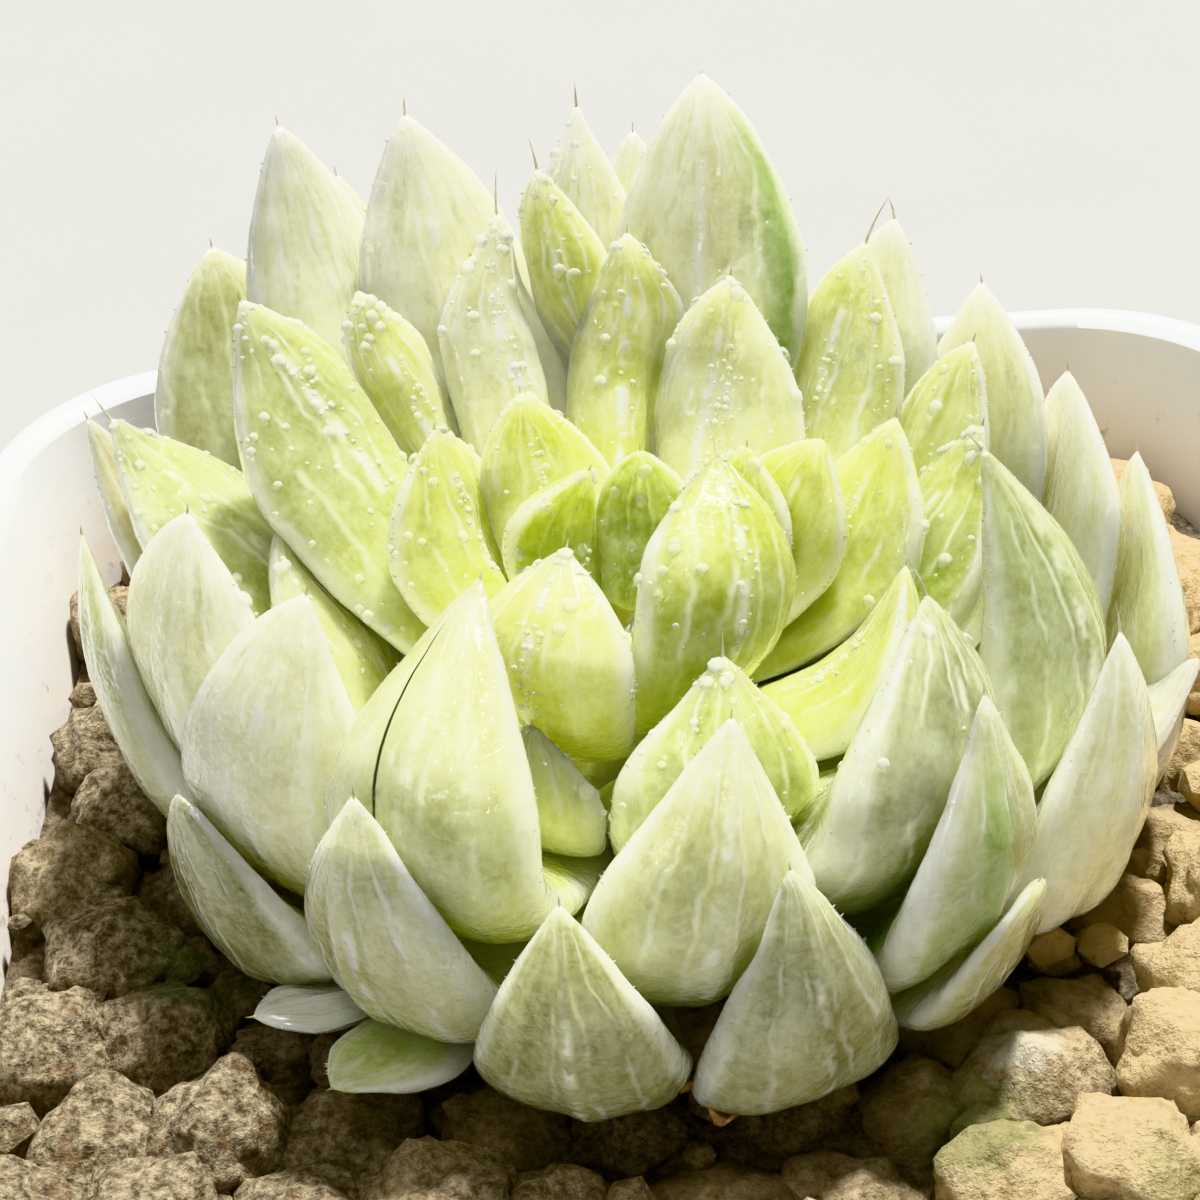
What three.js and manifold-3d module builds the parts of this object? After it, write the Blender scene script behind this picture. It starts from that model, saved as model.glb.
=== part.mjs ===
// A potted haworthia: a rosette of thick, pointed leaves on a short stem, standing in granular
// soil in a square plastic pot with rounded corners.
//
// Millimetres, +Z up. The origin is the middle of the pot's underside, X and Y run along its sides.
// Every leaf is a solid of its own. Leaves that press on each other share the room between them,
// so each one is flattened or dented by its neighbours, as crowded leaves are, and none overlap.

import * as THREE from 'three';
import { mergeVertices } from 'three/addons/utils/BufferGeometryUtils.js';
import Module from 'manifold-3d';

const wasm = await Module();
wasm.setup();

// ---------------------------------------------------------------- driving dimensions

const GAP = 0.3;                  // clearance between pieces that lie against each other

const POT_SIDE = 65;              // across the lip
const POT_HEIGHT = 60;
const POT_BASE_SIDE = 48;         // across the underside
const POT_WALL = 1.5;
const LIP_WIDTH = 1.9;            // how far the lip stands out from the wall, its thickness on top
const LIP_HEIGHT = 7;
const FOOT_RECESS = 1.5;          // hollow under the pot's floor
const CORNER_SHARE = 0.31;        // corner radius as a share of the half side
const POT_SEGMENTS = 32;          // eight facets to a corner
const DRAIN_HOLE_RADIUS = 3;
const DRAIN_HOLE_OFFSET = 11;

const SOIL_DEPTH_BELOW_LIP = 7.5; // from the lip down to the bed that the granules are sunk in
const PLANT_LEVEL = 55;           // leaf heights are measured from here, among the granules
const GRANULE_SPACING = 5.1;
const GRANULE_RADIUS = [2.9, 3.5];
const GRANULE_SHIFT = 1.3;        // how far a granule may lie off its place in the pattern
const BARE_RADIUS = 8;            // round the stem, under the rosette, no granules are set
const GRANULE_LIFT = [0.1, 0.45]; // middle above the bed, as a share of the radius

const STEM_BASE_RADIUS = 3.1;     // at soil level
const STEM_TAPER = 0.19;          // loss of radius for each millimetre of height
const STEM_TOP = 10;              // above the soil
const STEM_ROOT = 9;              // below the soil
const PLANT_X = -2;               // the rosette stands a little left of the pot's middle
const PLANT_Y = 0;

const LEAF_RINGS = 8;             // rings of points along a leaf
const LEAF_SIDES = 12;            // points round each ring
const LEAF_THICKNESS_SHARE = 0.46;
const INNER_FACE_SHARE = 0.35;    // of the thickness, on the face that looks at the heart
const LEAF_MIN_HALF = 0.3;        // no blade is thinner than 0.6

// The leaves, ring by ring. Angles are degrees round the stem, 0 towards +X and 90 towards +Y.
// [tip angle, tip reach from the stem's axis, tip height above the soil, root angle, root height,
//  outward bow, width, tip roundness (2 is a plain point, 3.5 is blunt), angle the back faces]
const LEAF_TABLE = {
  low_leaf: [
    [359, 22.8, 7.5, 351, 1, 3.5, 6.5, 3],
    [18.5, 22.8, 12.4, 2, 1.5, 9, 11, 4],
    [30, 22.5, 14, 12, 1.5, 6.5, 10.5, 4],
    [43, 22.5, 16.2, 23, 1.5, 6, 9.5, 4],
    [48, 22, 8, 48, 0.8, 3, 7],
    [68, 22, 13, 66, 1, 4, 8],
    [85, 24, 20.2, 86, 1, 3.5, 7.5, 2.8],
    [100, 22, 13, 100, 1, 4, 8],
    [117, 24.5, 20, 116, 1, 3, 7],
    [133, 24, 19, 142, 1.5, 5, 11, 3.5, 128],
    [155, 23.5, 15.5, 155, 1, 4, 7],
    [168, 21.5, 13.5, 185, 1.5, 6.5, 9, 3, 205],
    [199, 17.8, 8.5, 211, 1.2, 5.5, 9, 3, 228],
    [260, 15.5, 11, 262, 1.2, 6.5, 8.5],
    [291, 14.3, 10, 292, 1.5, 7.5, 9.5],
    [321, 18.4, 7, 317, 1.2, 4.5, 9, 3],
  ],
  old_leaf: [
    [219, 18.5, 2.5, 226, 1, 1, 5.5, 3],
    [233, 18.8, 2.2, 236, 1, 0.8, 6, 3],
  ],
  outer_leaf: [
    [346, 18.8, 12.5, 335, 2.5, 8, 10.5, 2, 315],
    [11, 14.5, 16, 350, 4, 9, 10, 2, 322],
    [53, 21.5, 18.5, 51, 2, 3, 9, 2.6],
    [76, 20.5, 24.5, 64, 3, 3, 9.8, 2.8],
    [91, 22, 22.5, 91, 2.5, 3, 8, 1.7],
    [111, 21.5, 23.4, 112, 3, 3, 10, 2.4],
    [125, 22.5, 24, 128, 2.5, 3.5, 9, 2.6],
    [156, 22, 16, 158, 4.5, 2.5, 9],
    [176, 16, 16.5, 193, 2.5, 6, 10, 4, 228],
    [197, 11.8, 15.7, 208, 3.5, 7, 9.8, 3, 240],
    [229, 14.4, 12.4, 239, 3, 6.5, 8.5, 3],
    [290, 10.4, 14, 270, 4, 6.5, 9],
    [327, 15, 13, 312, 3, 7.5, 9.5],
  ],
  middle_leaf: [
    [336, 12, 15, 310, 5, 5.5, 11.5],
    [24, 16.5, 14.5, 18, 5.5, 3, 8.5],
    [35, 18.7, 16, 38, 4.5, 3, 9],
    [53, 19, 18.5, 56, 5, 3, 9.5],
    [97, 18, 21.5, 90, 5, 2.5, 8],
    [103, 17.5, 20, 107, 6, 2.5, 9.5],
    [126, 17, 18.5, 124, 6, 2.5, 8.5],
    [143, 18, 20, 134, 5.5, 2.5, 9.5],
    [156, 14.8, 13, 163, 4, 2.5, 8.5],
    [215, 6, 16, 247, 4.5, 8.4, 9.2],
  ],
  inner_leaf: [
    [358, 11, 13, 345, 7, 3, 7.5],
    [28, 13, 15.5, 25, 7, 3, 8],
    [30, 9.7, 15.5, 45, 8, 2, 7],
    [68, 15, 18, 70, 7, 2.5, 9],
    [85, 16.5, 19, 88, 7, 2.5, 9],
    [111, 9.5, 16, 113, 8.5, 2, 7],
    [136, 9.5, 16, 138, 8, 2.5, 8],
    [218, 2.3, 15.5, 245, 7, 2.5, 7.5],
    [240, 6.7, 11, 244, 5, 3, 6.5, 3],
    [305, 6.3, 13, 279, 5.5, 4, 8.5],
    [25, 4.5, 17, 270, 7.5, 2.8, 7],
  ],
  heart_leaf: [
    [45, 7.7, 15, 40, 9, 1.5, 6.5],
    [76, 5, 15.5, 70, 10, 1, 5],
    [100, 4.5, 15, 140, 9.5, 1.5, 5.5],
  ],
};

const SOIL_TOP = POT_HEIGHT - SOIL_DEPTH_BELOW_LIP;

// ---------------------------------------------------------------- materials

const material = (hex, roughness) =>
  new THREE.MeshStandardMaterial({ color: hex, roughness, metalness: 0 });

const MATERIALS = {
  pot: material(0xe9edf2, 0.35),
  soil: material(0xb0875a, 0.95),
  stem: material(0xcfc9a0, 0.7),
  low_leaf: material(0xcbd0ac, 0.35),
  old_leaf: material(0x93a35c, 0.5),
  outer_leaf: material(0xd3dab0, 0.3),
  middle_leaf: material(0xd0da8c, 0.3),
  inner_leaf: material(0xcfd970, 0.3),
  heart_leaf: material(0xb4c244, 0.3),
};

// ---------------------------------------------------------------- solids

// A geometry with its shared points merged, as one closed solid.
function toSolid(geometry) {
  const bare = geometry.clone();
  bare.deleteAttribute('normal');
  bare.deleteAttribute('uv');
  const merged = mergeVertices(bare, 1e-4);
  const mesh = new wasm.Mesh({
    numProp: 3,
    vertProperties: new Float32Array(merged.attributes.position.array),
    triVerts: new Uint32Array(merged.index.array),
  });
  return new wasm.Manifold(mesh);
}

function toGeometry(solid) {
  const mesh = solid.getMesh();
  const geometry = new THREE.BufferGeometry();
  geometry.setAttribute('position', new THREE.BufferAttribute(mesh.vertProperties, 3));
  geometry.setIndex(new THREE.BufferAttribute(mesh.triVerts, 1));
  return geometry;
}

// A lathe profile of [half side, height] points, turned round Z and then squared: each point of the
// circle moves out along the straight sides, which leaves a rounded corner in every quadrant.
function squareLathe(profile) {
  const halfStep = Math.PI / POT_SEGMENTS;
  const points = profile.map(([side, height]) => new THREE.Vector2(side, height));
  const geometry = new THREE.LatheGeometry(points, POT_SEGMENTS, halfStep);
  geometry.rotateX(Math.PI / 2);
  const position = geometry.attributes.position;
  for (let i = 0; i < position.count; i += 1) {
    const x = position.getX(i);
    const y = position.getY(i);
    const side = Math.hypot(x, y);
    const straight = side * (1 - CORNER_SHARE);
    position.setXY(i, Math.sign(x) * straight + CORNER_SHARE * x,
      Math.sign(y) * straight + CORNER_SHARE * y);
  }
  return geometry;
}

// ---------------------------------------------------------------- pot

const POT_HALF = POT_SIDE / 2;
const WALL_TOP_HALF = POT_HALF - LIP_WIDTH;
const BASE_HALF = POT_BASE_SIDE / 2;
const WALL_LEAN = (WALL_TOP_HALF - BASE_HALF) / POT_HEIGHT;

// Half side of the outer wall at a height.
const wallHalf = (z) => BASE_HALF + WALL_LEAN * z;

function potGeometry() {
  const floor = FOOT_RECESS + POT_WALL;
  const lipFoot = POT_HEIGHT - LIP_HEIGHT;
  const roundOff = 0.5;
  const profile = [
    [0, FOOT_RECESS],
    [BASE_HALF - 4.5, FOOT_RECESS],
    [BASE_HALF - 4, 0],
    [BASE_HALF - roundOff, 0],
    [wallHalf(roundOff), roundOff],
    [wallHalf(lipFoot), lipFoot],
    [POT_HALF - roundOff, lipFoot + roundOff],
    [POT_HALF, POT_HEIGHT - 1],
    [POT_HALF - roundOff, POT_HEIGHT],
    [WALL_TOP_HALF + roundOff, POT_HEIGHT],
    [WALL_TOP_HALF, POT_HEIGHT - roundOff],
    [wallHalf(lipFoot) - POT_WALL, lipFoot],
    [wallHalf(floor) - POT_WALL, floor],
    [0, floor],
  ];
  let solid = toSolid(squareLathe(profile));
  const spots = [[0, 0]];
  for (const sx of [-1, 1]) {
    for (const sy of [-1, 1]) {
      spots.push([sx * DRAIN_HOLE_OFFSET, sy * DRAIN_HOLE_OFFSET]);
    }
  }
  for (const [x, y] of spots) {
    const hole = new THREE.CylinderGeometry(DRAIN_HOLE_RADIUS, DRAIN_HOLE_RADIUS, 3 * floor, 16);
    hole.rotateX(Math.PI / 2);
    hole.translate(x, y, floor / 2);
    solid = solid.subtract(toSolid(hole));
  }
  return toGeometry(solid);
}

// ---------------------------------------------------------------- leaf shape

const radians = THREE.MathUtils.degToRad;
const polar = (reach, degrees, height) => new THREE.Vector3(
  reach * Math.cos(radians(degrees)), reach * Math.sin(radians(degrees)), height);
const stemRadius = (z) =>
  THREE.MathUtils.clamp(STEM_BASE_RADIUS - STEM_TAPER * z, 1, STEM_BASE_RADIUS);
const clamp01 = (x) => Math.min(1, Math.max(0, x));

const SAMPLES = 16;               // stretches of a leaf's middle line that distances are taken from
const WIDEST = 0.6;               // where along the leaf it is widest
const THICKEST = 0.45;

// A leaf before its neighbours press on it: a middle line from the stem to the tip, bowed outwards
// and down, with a width and a thickness at every place along it. Heights are above the soil.
class Leaf {
  constructor(name, kind, row) {
    const [tipTurn, reach, height, rootTurn, foot, bow, width, roundness = 2, face] = row;
    Object.assign(this, { name, kind, width, roundness, thickness: width * LEAF_THICKNESS_SHARE });
    const root = polar(stemRadius(foot) + 0.7, rootTurn, foot);
    const tip = polar(reach, tipTurn, height);
    const outward = polar(1, rootTurn, 0);
    const chord = tip.clone().sub(root).normalize();
    const bulge = outward.clone().setZ(-0.6);
    bulge.addScaledVector(chord, -bulge.dot(chord)).normalize().multiplyScalar(bow);
    const middle = root.clone().add(tip).multiplyScalar(0.5).add(bulge);
    const control = middle.clone().multiplyScalar(2).sub(root.clone().add(tip).multiplyScalar(0.5));
    this.line = new THREE.QuadraticBezierCurve3(root, control, tip);
    this.facing = middle.clone().setZ(0).normalize().multiplyScalar(0.6);
    this.facing.addScaledVector(outward, 0.4).normalize();
    if (face !== undefined) this.facing = polar(1, face, 0);
    this.samples = [];
    for (let i = 0; i <= SAMPLES; i += 1) this.samples.push(this.at(i / SAMPLES));
  }

  // The middle line's point, its three directions and the leaf's half sizes there.
  at(t) {
    const point = this.line.getPoint(t);
    const along = this.line.getTangent(t);
    const side = this.facing.clone().cross(new THREE.Vector3(0, 0, 1));
    side.addScaledVector(along, -side.dot(along)).normalize();
    const inward = side.clone().cross(along);
    const toWide = 0.45 + 0.55 * Math.sin((Math.PI / 2) * clamp01(t / WIDEST)) ** 1.3;
    const toTip = 1 - clamp01((t - WIDEST) / (1 - WIDEST)) ** this.roundness;
    const halfWidth = (this.width / 2) * (t < WIDEST ? toWide : toTip);
    const thickening = 0.3 + 0.7 * Math.sin((Math.PI / 2) * clamp01(t / THICKEST));
    const thinning = 1 - clamp01((t - THICKEST) / (1 - THICKEST)) ** 2.4;
    const thick = this.thickness * (t < THICKEST ? thickening : thinning);
    return {
      point,
      along,
      side,
      inward,
      halfWidth: Math.max(halfWidth, LEAF_MIN_HALF),
      innerHalf: Math.max(thick * INNER_FACE_SHARE, LEAF_MIN_HALF),
      outerHalf: Math.max(thick * (1 - INNER_FACE_SHARE), LEAF_MIN_HALF),
    };
  }

  // About how far a point is outside the leaf's own surface, negative inside it.
  distance(p) {
    let best = Infinity;
    let spot = 0;
    let share = 0;
    for (let i = 0; i < SAMPLES; i += 1) {
      const a = this.samples[i].point;
      const b = this.samples[i + 1].point;
      const dx = b.x - a.x;
      const dy = b.y - a.y;
      const dz = b.z - a.z;
      const f = clamp01(((p.x - a.x) * dx + (p.y - a.y) * dy + (p.z - a.z) * dz)
        / (dx * dx + dy * dy + dz * dz));
      const ex = p.x - a.x - f * dx;
      const ey = p.y - a.y - f * dy;
      const ez = p.z - a.z - f * dz;
      const gap = ex * ex + ey * ey + ez * ez;
      if (gap < best) {
        best = gap;
        spot = i;
        share = f;
      }
    }
    const a = this.samples[spot];
    const b = this.samples[spot + 1];
    const mix = (key) => a[key] + (b[key] - a[key]) * share;
    const off = p.clone().sub(a.point.clone().lerp(b.point, share));
    const across = off.dot(a.side.clone().lerp(b.side, share));
    const inward = off.dot(a.inward.clone().lerp(b.inward, share));
    const along = off.dot(a.along.clone().lerp(b.along, share));
    const halfWidth = mix('halfWidth');
    const half = inward > 0 ? mix('innerHalf') : mix('outerHalf');
    const k1 = Math.hypot(across / halfWidth, inward / half, along / half);
    const k2 = Math.hypot(across / halfWidth ** 2, inward / half ** 2, along / half ** 2);
    return k2 < 1e-6 ? -half : (k1 * (k1 - 1)) / k2;
  }

  isNear(other) {
    const box = (leaf) => new THREE.Box3()
      .setFromPoints(leaf.samples.map((s) => s.point)).expandByScalar(leaf.width / 2 + 0.5);
    return box(this).intersectsBox(box(other));
  }
}

const leaves = [];
for (const [kind, rows] of Object.entries(LEAF_TABLE)) {
  rows.forEach((row, i) => {
    const name = `${kind}_${String(i + 1).padStart(2, '0')}`;
    leaves.push(new Leaf(name, kind, row));
  });
}

// ---------------------------------------------------------------- leaves pressed together

const SHIFT_STEPS = [-0.6, -0.3, 0, 0.3, 0.6];

const stemDistance = (p) =>
  Math.max(Math.hypot(p.x, p.y) - stemRadius(p.z), p.z - STEM_TOP);

// Positive where a leaf may not be: outside its own surface, nearer to a neighbour than to itself,
// in the stem or in the soil.
function outsideRoom(leaf, neighbours, p) {
  const own = leaf.distance(p);
  let out = Math.max(own, GAP - stemDistance(p), GAP - p.z);
  for (const other of neighbours) {
    out = Math.max(out, (own - other.distance(p) + GAP) / 2);
  }
  return out;
}

// The ring's middle, moved within the leaf to where there is most room if it is crowded.
function roomiest(section, isOutside) {
  const start = section.point;
  const first = isOutside(start);
  if (first < -0.35) return start;
  let best = first - 0.02;
  let chosen = start;
  for (const u of SHIFT_STEPS) {
    for (const v of SHIFT_STEPS) {
      const half = v > 0 ? section.innerHalf : section.outerHalf;
      const p = start.clone().addScaledVector(section.side, u * section.halfWidth)
        .addScaledVector(section.inward, v * half);
      const value = isOutside(p) + 0.05 * (Math.abs(u) + Math.abs(v));
      if (value < best) {
        best = value - 0.02;
        chosen = p;
      }
    }
  }
  return chosen;
}

// The lowest place on the leaf's line from where there is room for it all the way to its tip.
function rootPlace(leaf, isOutside) {
  const step = 0.04;
  let t = 0.4;
  while (t >= step && isOutside(roomiest(leaf.at(t - step), isOutside)) < -0.25) t -= step;
  return t < step ? 0 : t;
}

// The last point of the leaf along a ray from inside it.
function reachAlong(start, direction, length, isOutside) {
  const steps = 10;
  const at = (s) => start.clone().addScaledVector(direction, s);
  let low = 0;
  let high = length;
  let hit = false;
  for (let i = 1; i <= steps && !hit; i += 1) {
    const s = (length * i) / steps;
    if (isOutside(at(s)) > 0) {
      high = s;
      hit = true;
    } else {
      low = s;
    }
  }
  for (let i = 0; hit && i < 6; i += 1) {
    const s = (low + high) / 2;
    if (isOutside(at(s)) > 0) high = s;
    else low = s;
  }
  return at(hit ? Math.max((low + high) / 2, 0.1) : length);
}

const ringShare = (ring) => {
  const even = ring / (LEAF_RINGS + 1);
  return 0.35 * even + 0.65 * (0.5 - 0.5 * Math.cos(Math.PI * even));
};

// A sphere's rings and poles are moved onto the leaf: its south pole becomes the root, its north
// pole the tip, and every ring goes round the middle line.
function leafGeometry(leaf) {
  const neighbours = leaves.filter((other) => other !== leaf && leaf.isNear(other));
  const isOutside = (p) => outsideRoom(leaf, neighbours, p);
  const sections = [];
  const from = rootPlace(leaf, isOutside);
  for (let ring = 0; ring <= LEAF_RINGS + 1; ring += 1) {
    sections.push(leaf.at(from + (1 - from) * ringShare(ring)));
  }
  const middles = sections.map((section) => roomiest(section, isOutside));
  middles[0] = middles[1];
  middles[LEAF_RINGS + 1] = middles[LEAF_RINGS];

  const sphere = new THREE.SphereGeometry(1, LEAF_SIDES, LEAF_RINGS + 1);
  sphere.deleteAttribute('normal');
  sphere.deleteAttribute('uv');
  const geometry = mergeVertices(sphere, 1e-4);
  const position = geometry.attributes.position;
  const points = [];
  const starts = [];
  for (let i = 0; i < position.count; i += 1) {
    const y = THREE.MathUtils.clamp(position.getY(i), -1, 1);
    const ring = Math.round((1 - Math.acos(y) / Math.PI) * (LEAF_RINGS + 1));
    const section = sections[ring];
    const start = middles[ring];
    let way;
    let length;
    if (ring === 0 || ring === LEAF_RINGS + 1) {
      const next = sections[ring === 0 ? 1 : LEAF_RINGS];
      way = section.along.clone().multiplyScalar(ring === 0 ? -1 : 1);
      length = next.point.distanceTo(section.point) + (ring === 0 ? 0.6 : 0);
    } else {
      const turn = Math.atan2(position.getZ(i), position.getX(i));
      const half = Math.sin(turn) > 0 ? section.innerHalf : section.outerHalf;
      way = section.side.clone().multiplyScalar(Math.cos(turn) * section.halfWidth)
        .addScaledVector(section.inward, Math.sin(turn) * half);
      length = way.length() * 1.15 + start.distanceTo(section.point);
    }
    starts.push(start);
    points.push(reachAlong(start, way.normalize(), length, isOutside));
  }
  drawIn(points, starts, geometry.index, isOutside);
  points.forEach((p, i) => position.setXYZ(i, p.x, p.y, p.z));
  return geometry;
}

// A flat facet can cut into a neighbour's rounded face although its corners are clear of it, so
// the corners are drawn towards the leaf's middle until the facet's middle and its edges are clear.
function drawIn(points, starts, index, isOutside) {
  const shares = [[1 / 3, 1 / 3, 1 / 3], [0.5, 0.5, 0], [0, 0.5, 0.5], [0.5, 0, 0.5]];
  for (let pass = 0; pass < 3; pass += 1) {
    for (let i = 0; i < index.count; i += 3) {
      const corners = [index.getX(i), index.getX(i + 1), index.getX(i + 2)];
      for (const share of shares) {
        const spot = new THREE.Vector3();
        corners.forEach((c, k) => spot.addScaledVector(points[c], share[k]));
        const excess = isOutside(spot);
        if (excess > 0.02) {
          for (const c of corners) {
            const reach = points[c].distanceTo(starts[c]);
            const shift = Math.min(0.7 * excess, reach / 2, Math.max(reach - 0.1, 0));
            points[c].lerp(starts[c], shift / reach);
          }
        }
      }
    }
  }
}

// ---------------------------------------------------------------- stem and soil

function stemGeometry() {
  const profile = [
    [0, -STEM_ROOT],
    [1.2, -STEM_ROOT + 0.8],
    [2.6, -STEM_ROOT / 2],
    [stemRadius(0), 0],
    [stemRadius(STEM_TOP - 0.6), STEM_TOP - 0.6],
    [0, STEM_TOP],
  ].map(([r, z]) => new THREE.Vector2(r, z));
  const geometry = new THREE.LatheGeometry(profile, 16);
  geometry.rotateX(Math.PI / 2);
  geometry.translate(PLANT_X, PLANT_Y, PLANT_LEVEL);
  return toGeometry(toSolid(geometry));
}

// A small repeatable source of numbers from 0 to 1.
function seededRandom(seed) {
  let state = seed;
  return () => {
    state = (state * 16807) % 2147483647;
    return state / 2147483647;
  };
}

const between = ([low, high], share) => low + (high - low) * share;

// One granule: an icosahedron with its corners pushed in and out, turned at random.
function granuleGeometry(radius, random) {
  const geometry = mergeVertices((() => {
    const ball = new THREE.IcosahedronGeometry(1, 0);
    ball.deleteAttribute('normal');
    ball.deleteAttribute('uv');
    return ball;
  })(), 1e-3);
  const position = geometry.attributes.position;
  for (let i = 0; i < position.count; i += 1) {
    const push = radius * (0.86 + 0.3 * random());
    position.setXYZ(i, position.getX(i) * push, position.getY(i) * push, position.getZ(i) * push);
  }
  geometry.rotateX(random() * Math.PI);
  geometry.rotateZ(random() * Math.PI);
  geometry.scale(1.08, 1, 0.85);
  return geometry;
}

// How deep below the plant's level a granule must lie at this place to stay clear of the leaves,
// or Infinity where there is no room for one.
function roomBelow(x, y, radius) {
  if (Math.hypot(x, y) < BARE_RADIUS) return Infinity;
  for (let depth = -1; depth < 5; depth += 0.3) {
    const spot = new THREE.Vector3(x, y, -depth);
    const room = Math.min(...leaves.map((leaf) => Math.max(leaf.distance(spot), depth + GAP)));
    if (room > 1.1 * radius + GAP) return depth;
  }
  return Infinity;
}

// The bed fills the pot to its wall, and granules are sunk into its top. A granule that would meet
// a leaf is set deeper, and one that would meet the wall is cut off along it. Only the outermost
// shell is kept, so closed pockets between granules are filled.
function soilGeometry() {
  const random = seededRandom(8);
  const floor = FOOT_RECESS + POT_WALL;
  const innerHalf = (z) => wallHalf(z) - POT_WALL - GAP * 1.2;
  const lipFoot = POT_HEIGHT - LIP_HEIGHT;
  const bed = squareLathe([
    [0, floor + GAP],
    [innerHalf(floor + GAP), floor + GAP],
    [innerHalf(lipFoot), lipFoot],
    [innerHalf(SOIL_TOP), SOIL_TOP],
    [0, SOIL_TOP],
  ]);
  let solid = toSolid(bed);
  const hole = new THREE.CylinderGeometry(STEM_BASE_RADIUS + GAP, STEM_BASE_RADIUS + GAP, 40, 16);
  hole.rotateX(Math.PI / 2);
  hole.translate(PLANT_X, PLANT_Y, PLANT_LEVEL + 20 - STEM_ROOT - GAP);
  solid = solid.subtract(toSolid(hole));

  const edge = innerHalf(SOIL_TOP);
  const corner = edge * CORNER_SHARE;
  const granules = [];
  const rows = Math.ceil(edge / GRANULE_SPACING) + 1;
  for (let i = -rows; i <= rows; i += 1) {
    for (let j = -rows; j <= rows; j += 1) {
      const along = (i + (j % 2 ? 0.5 : 0)) * GRANULE_SPACING;
      const x = along + (random() - 0.5) * GRANULE_SHIFT;
      const y = j * GRANULE_SPACING * 0.88 + (random() - 0.5) * GRANULE_SHIFT;
      const radius = between(GRANULE_RADIUS, random() ** 1.3);
      const lift = between(GRANULE_LIFT, random());
      const shape = granuleGeometry(radius, random);
      const ax = Math.max(0, Math.abs(x) - (edge - corner));
      const ay = Math.max(0, Math.abs(y) - (edge - corner));
      const inset = Math.min(edge - Math.abs(x), edge - Math.abs(y), corner - Math.hypot(ax, ay));
      const depth = roomBelow(x - PLANT_X, y - PLANT_Y, radius);
      const z = Math.min(SOIL_TOP + lift * radius, PLANT_LEVEL - depth);
      if (inset > 0.5 && z > SOIL_TOP - 0.6 * radius) {
        shape.translate(x, y, z);
        granules.push(toSolid(shape));
      }
    }
  }
  const inside = toSolid(squareLathe([
    [0, SOIL_TOP - 1],
    [edge - 0.17, SOIL_TOP - 1],
    [edge - 0.17, POT_HEIGHT],
    [0, POT_HEIGHT],
  ]));
  const layer = wasm.Manifold.union(granules).intersect(inside);
  solid = solid.add(layer);
  const shells = solid.decompose();
  shells.sort((a, b) => b.volume() - a.volume());
  return toGeometry(shells[0]);
}

// ---------------------------------------------------------------- assembly

const part = new THREE.Group();

function addMesh(parent, name, geometry, paint) {
  const mesh = new THREE.Mesh(geometry, paint);
  mesh.name = name;
  parent.add(mesh);
}

addMesh(part, 'pot', potGeometry(), MATERIALS.pot);
addMesh(part, 'soil', soilGeometry(), MATERIALS.soil);
addMesh(part, 'stem', stemGeometry(), MATERIALS.stem);

const rosette = new THREE.Group();
rosette.position.set(PLANT_X, PLANT_Y, PLANT_LEVEL);
for (const leaf of leaves) {
  addMesh(rosette, leaf.name, leafGeometry(leaf), MATERIALS[leaf.kind]);
}
part.add(rosette);

export default part;
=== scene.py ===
# %% [markdown]
# A potted haworthia, dressed leaf by leaf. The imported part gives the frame: where every leaf, the
# soil, the stem and the pot are. This script puts finer pieces in the same places and paints them
# with materials made of nodes. Lengths are in metres here, and small plant sizes are given in
# millimetres and turned into metres with MM.

# %% Load the frame
import math
import random
import bmesh
import bpy
import numpy as np
from mathutils import Matrix, Vector, noise


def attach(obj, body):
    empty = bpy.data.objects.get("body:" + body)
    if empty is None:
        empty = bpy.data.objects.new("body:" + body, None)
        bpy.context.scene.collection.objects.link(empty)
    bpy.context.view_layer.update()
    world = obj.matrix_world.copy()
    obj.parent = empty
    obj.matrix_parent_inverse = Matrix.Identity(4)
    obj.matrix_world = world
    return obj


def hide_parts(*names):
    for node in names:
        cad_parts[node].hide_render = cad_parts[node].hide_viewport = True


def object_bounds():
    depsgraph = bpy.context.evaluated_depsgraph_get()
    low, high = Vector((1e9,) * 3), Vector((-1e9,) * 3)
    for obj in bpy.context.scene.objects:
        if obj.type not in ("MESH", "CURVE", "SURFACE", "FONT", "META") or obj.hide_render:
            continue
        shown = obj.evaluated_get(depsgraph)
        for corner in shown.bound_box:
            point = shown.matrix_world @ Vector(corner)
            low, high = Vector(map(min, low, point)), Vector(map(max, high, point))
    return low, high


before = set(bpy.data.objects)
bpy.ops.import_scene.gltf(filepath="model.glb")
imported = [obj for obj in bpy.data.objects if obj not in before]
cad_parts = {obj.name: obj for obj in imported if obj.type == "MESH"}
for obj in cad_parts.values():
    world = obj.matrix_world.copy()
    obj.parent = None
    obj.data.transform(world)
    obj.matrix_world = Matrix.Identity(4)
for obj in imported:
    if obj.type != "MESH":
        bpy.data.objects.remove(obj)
cad_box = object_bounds()
MM = 0.001
print("frame box", [[round(float(c), 4) for c in corner] for corner in cad_box])

# %% [markdown]
# Measures of the pot and the plant. They are the ones the solids were made with, so the finer
# pieces keep their form. The plant stands a little left of the pot's middle, and leaf heights
# count from the level of the granules.

# %% Measures in millimetres
PLANT = np.array([-2.0, 0.0, 55.0])
POT_HEIGHT, POT_HALF, BASE_HALF = 60.0, 32.44, 24.0
WALL, LIP_WIDTH, LIP_HEIGHT, FOOT_RECESS = 1.5, 1.9, 7.0, 1.5
CORNER_SHARE = 0.31
BED_TOP = 52.5
STEM_TOP = 10.0


def wall_half(z):
    return BASE_HALF + (32.5 - LIP_WIDTH - BASE_HALF) * z / POT_HEIGHT


# %% [markdown]
# The rosette's leaves, from the lowest whorl to the heart. A row holds the tip's angle round the
# stem, its reach and its height, the root's angle and height, the outward bow, the width, how blunt
# the tip is and, for some, the angle that the back of the leaf faces. Angle 0 is +X, 90 is +Y.

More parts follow.
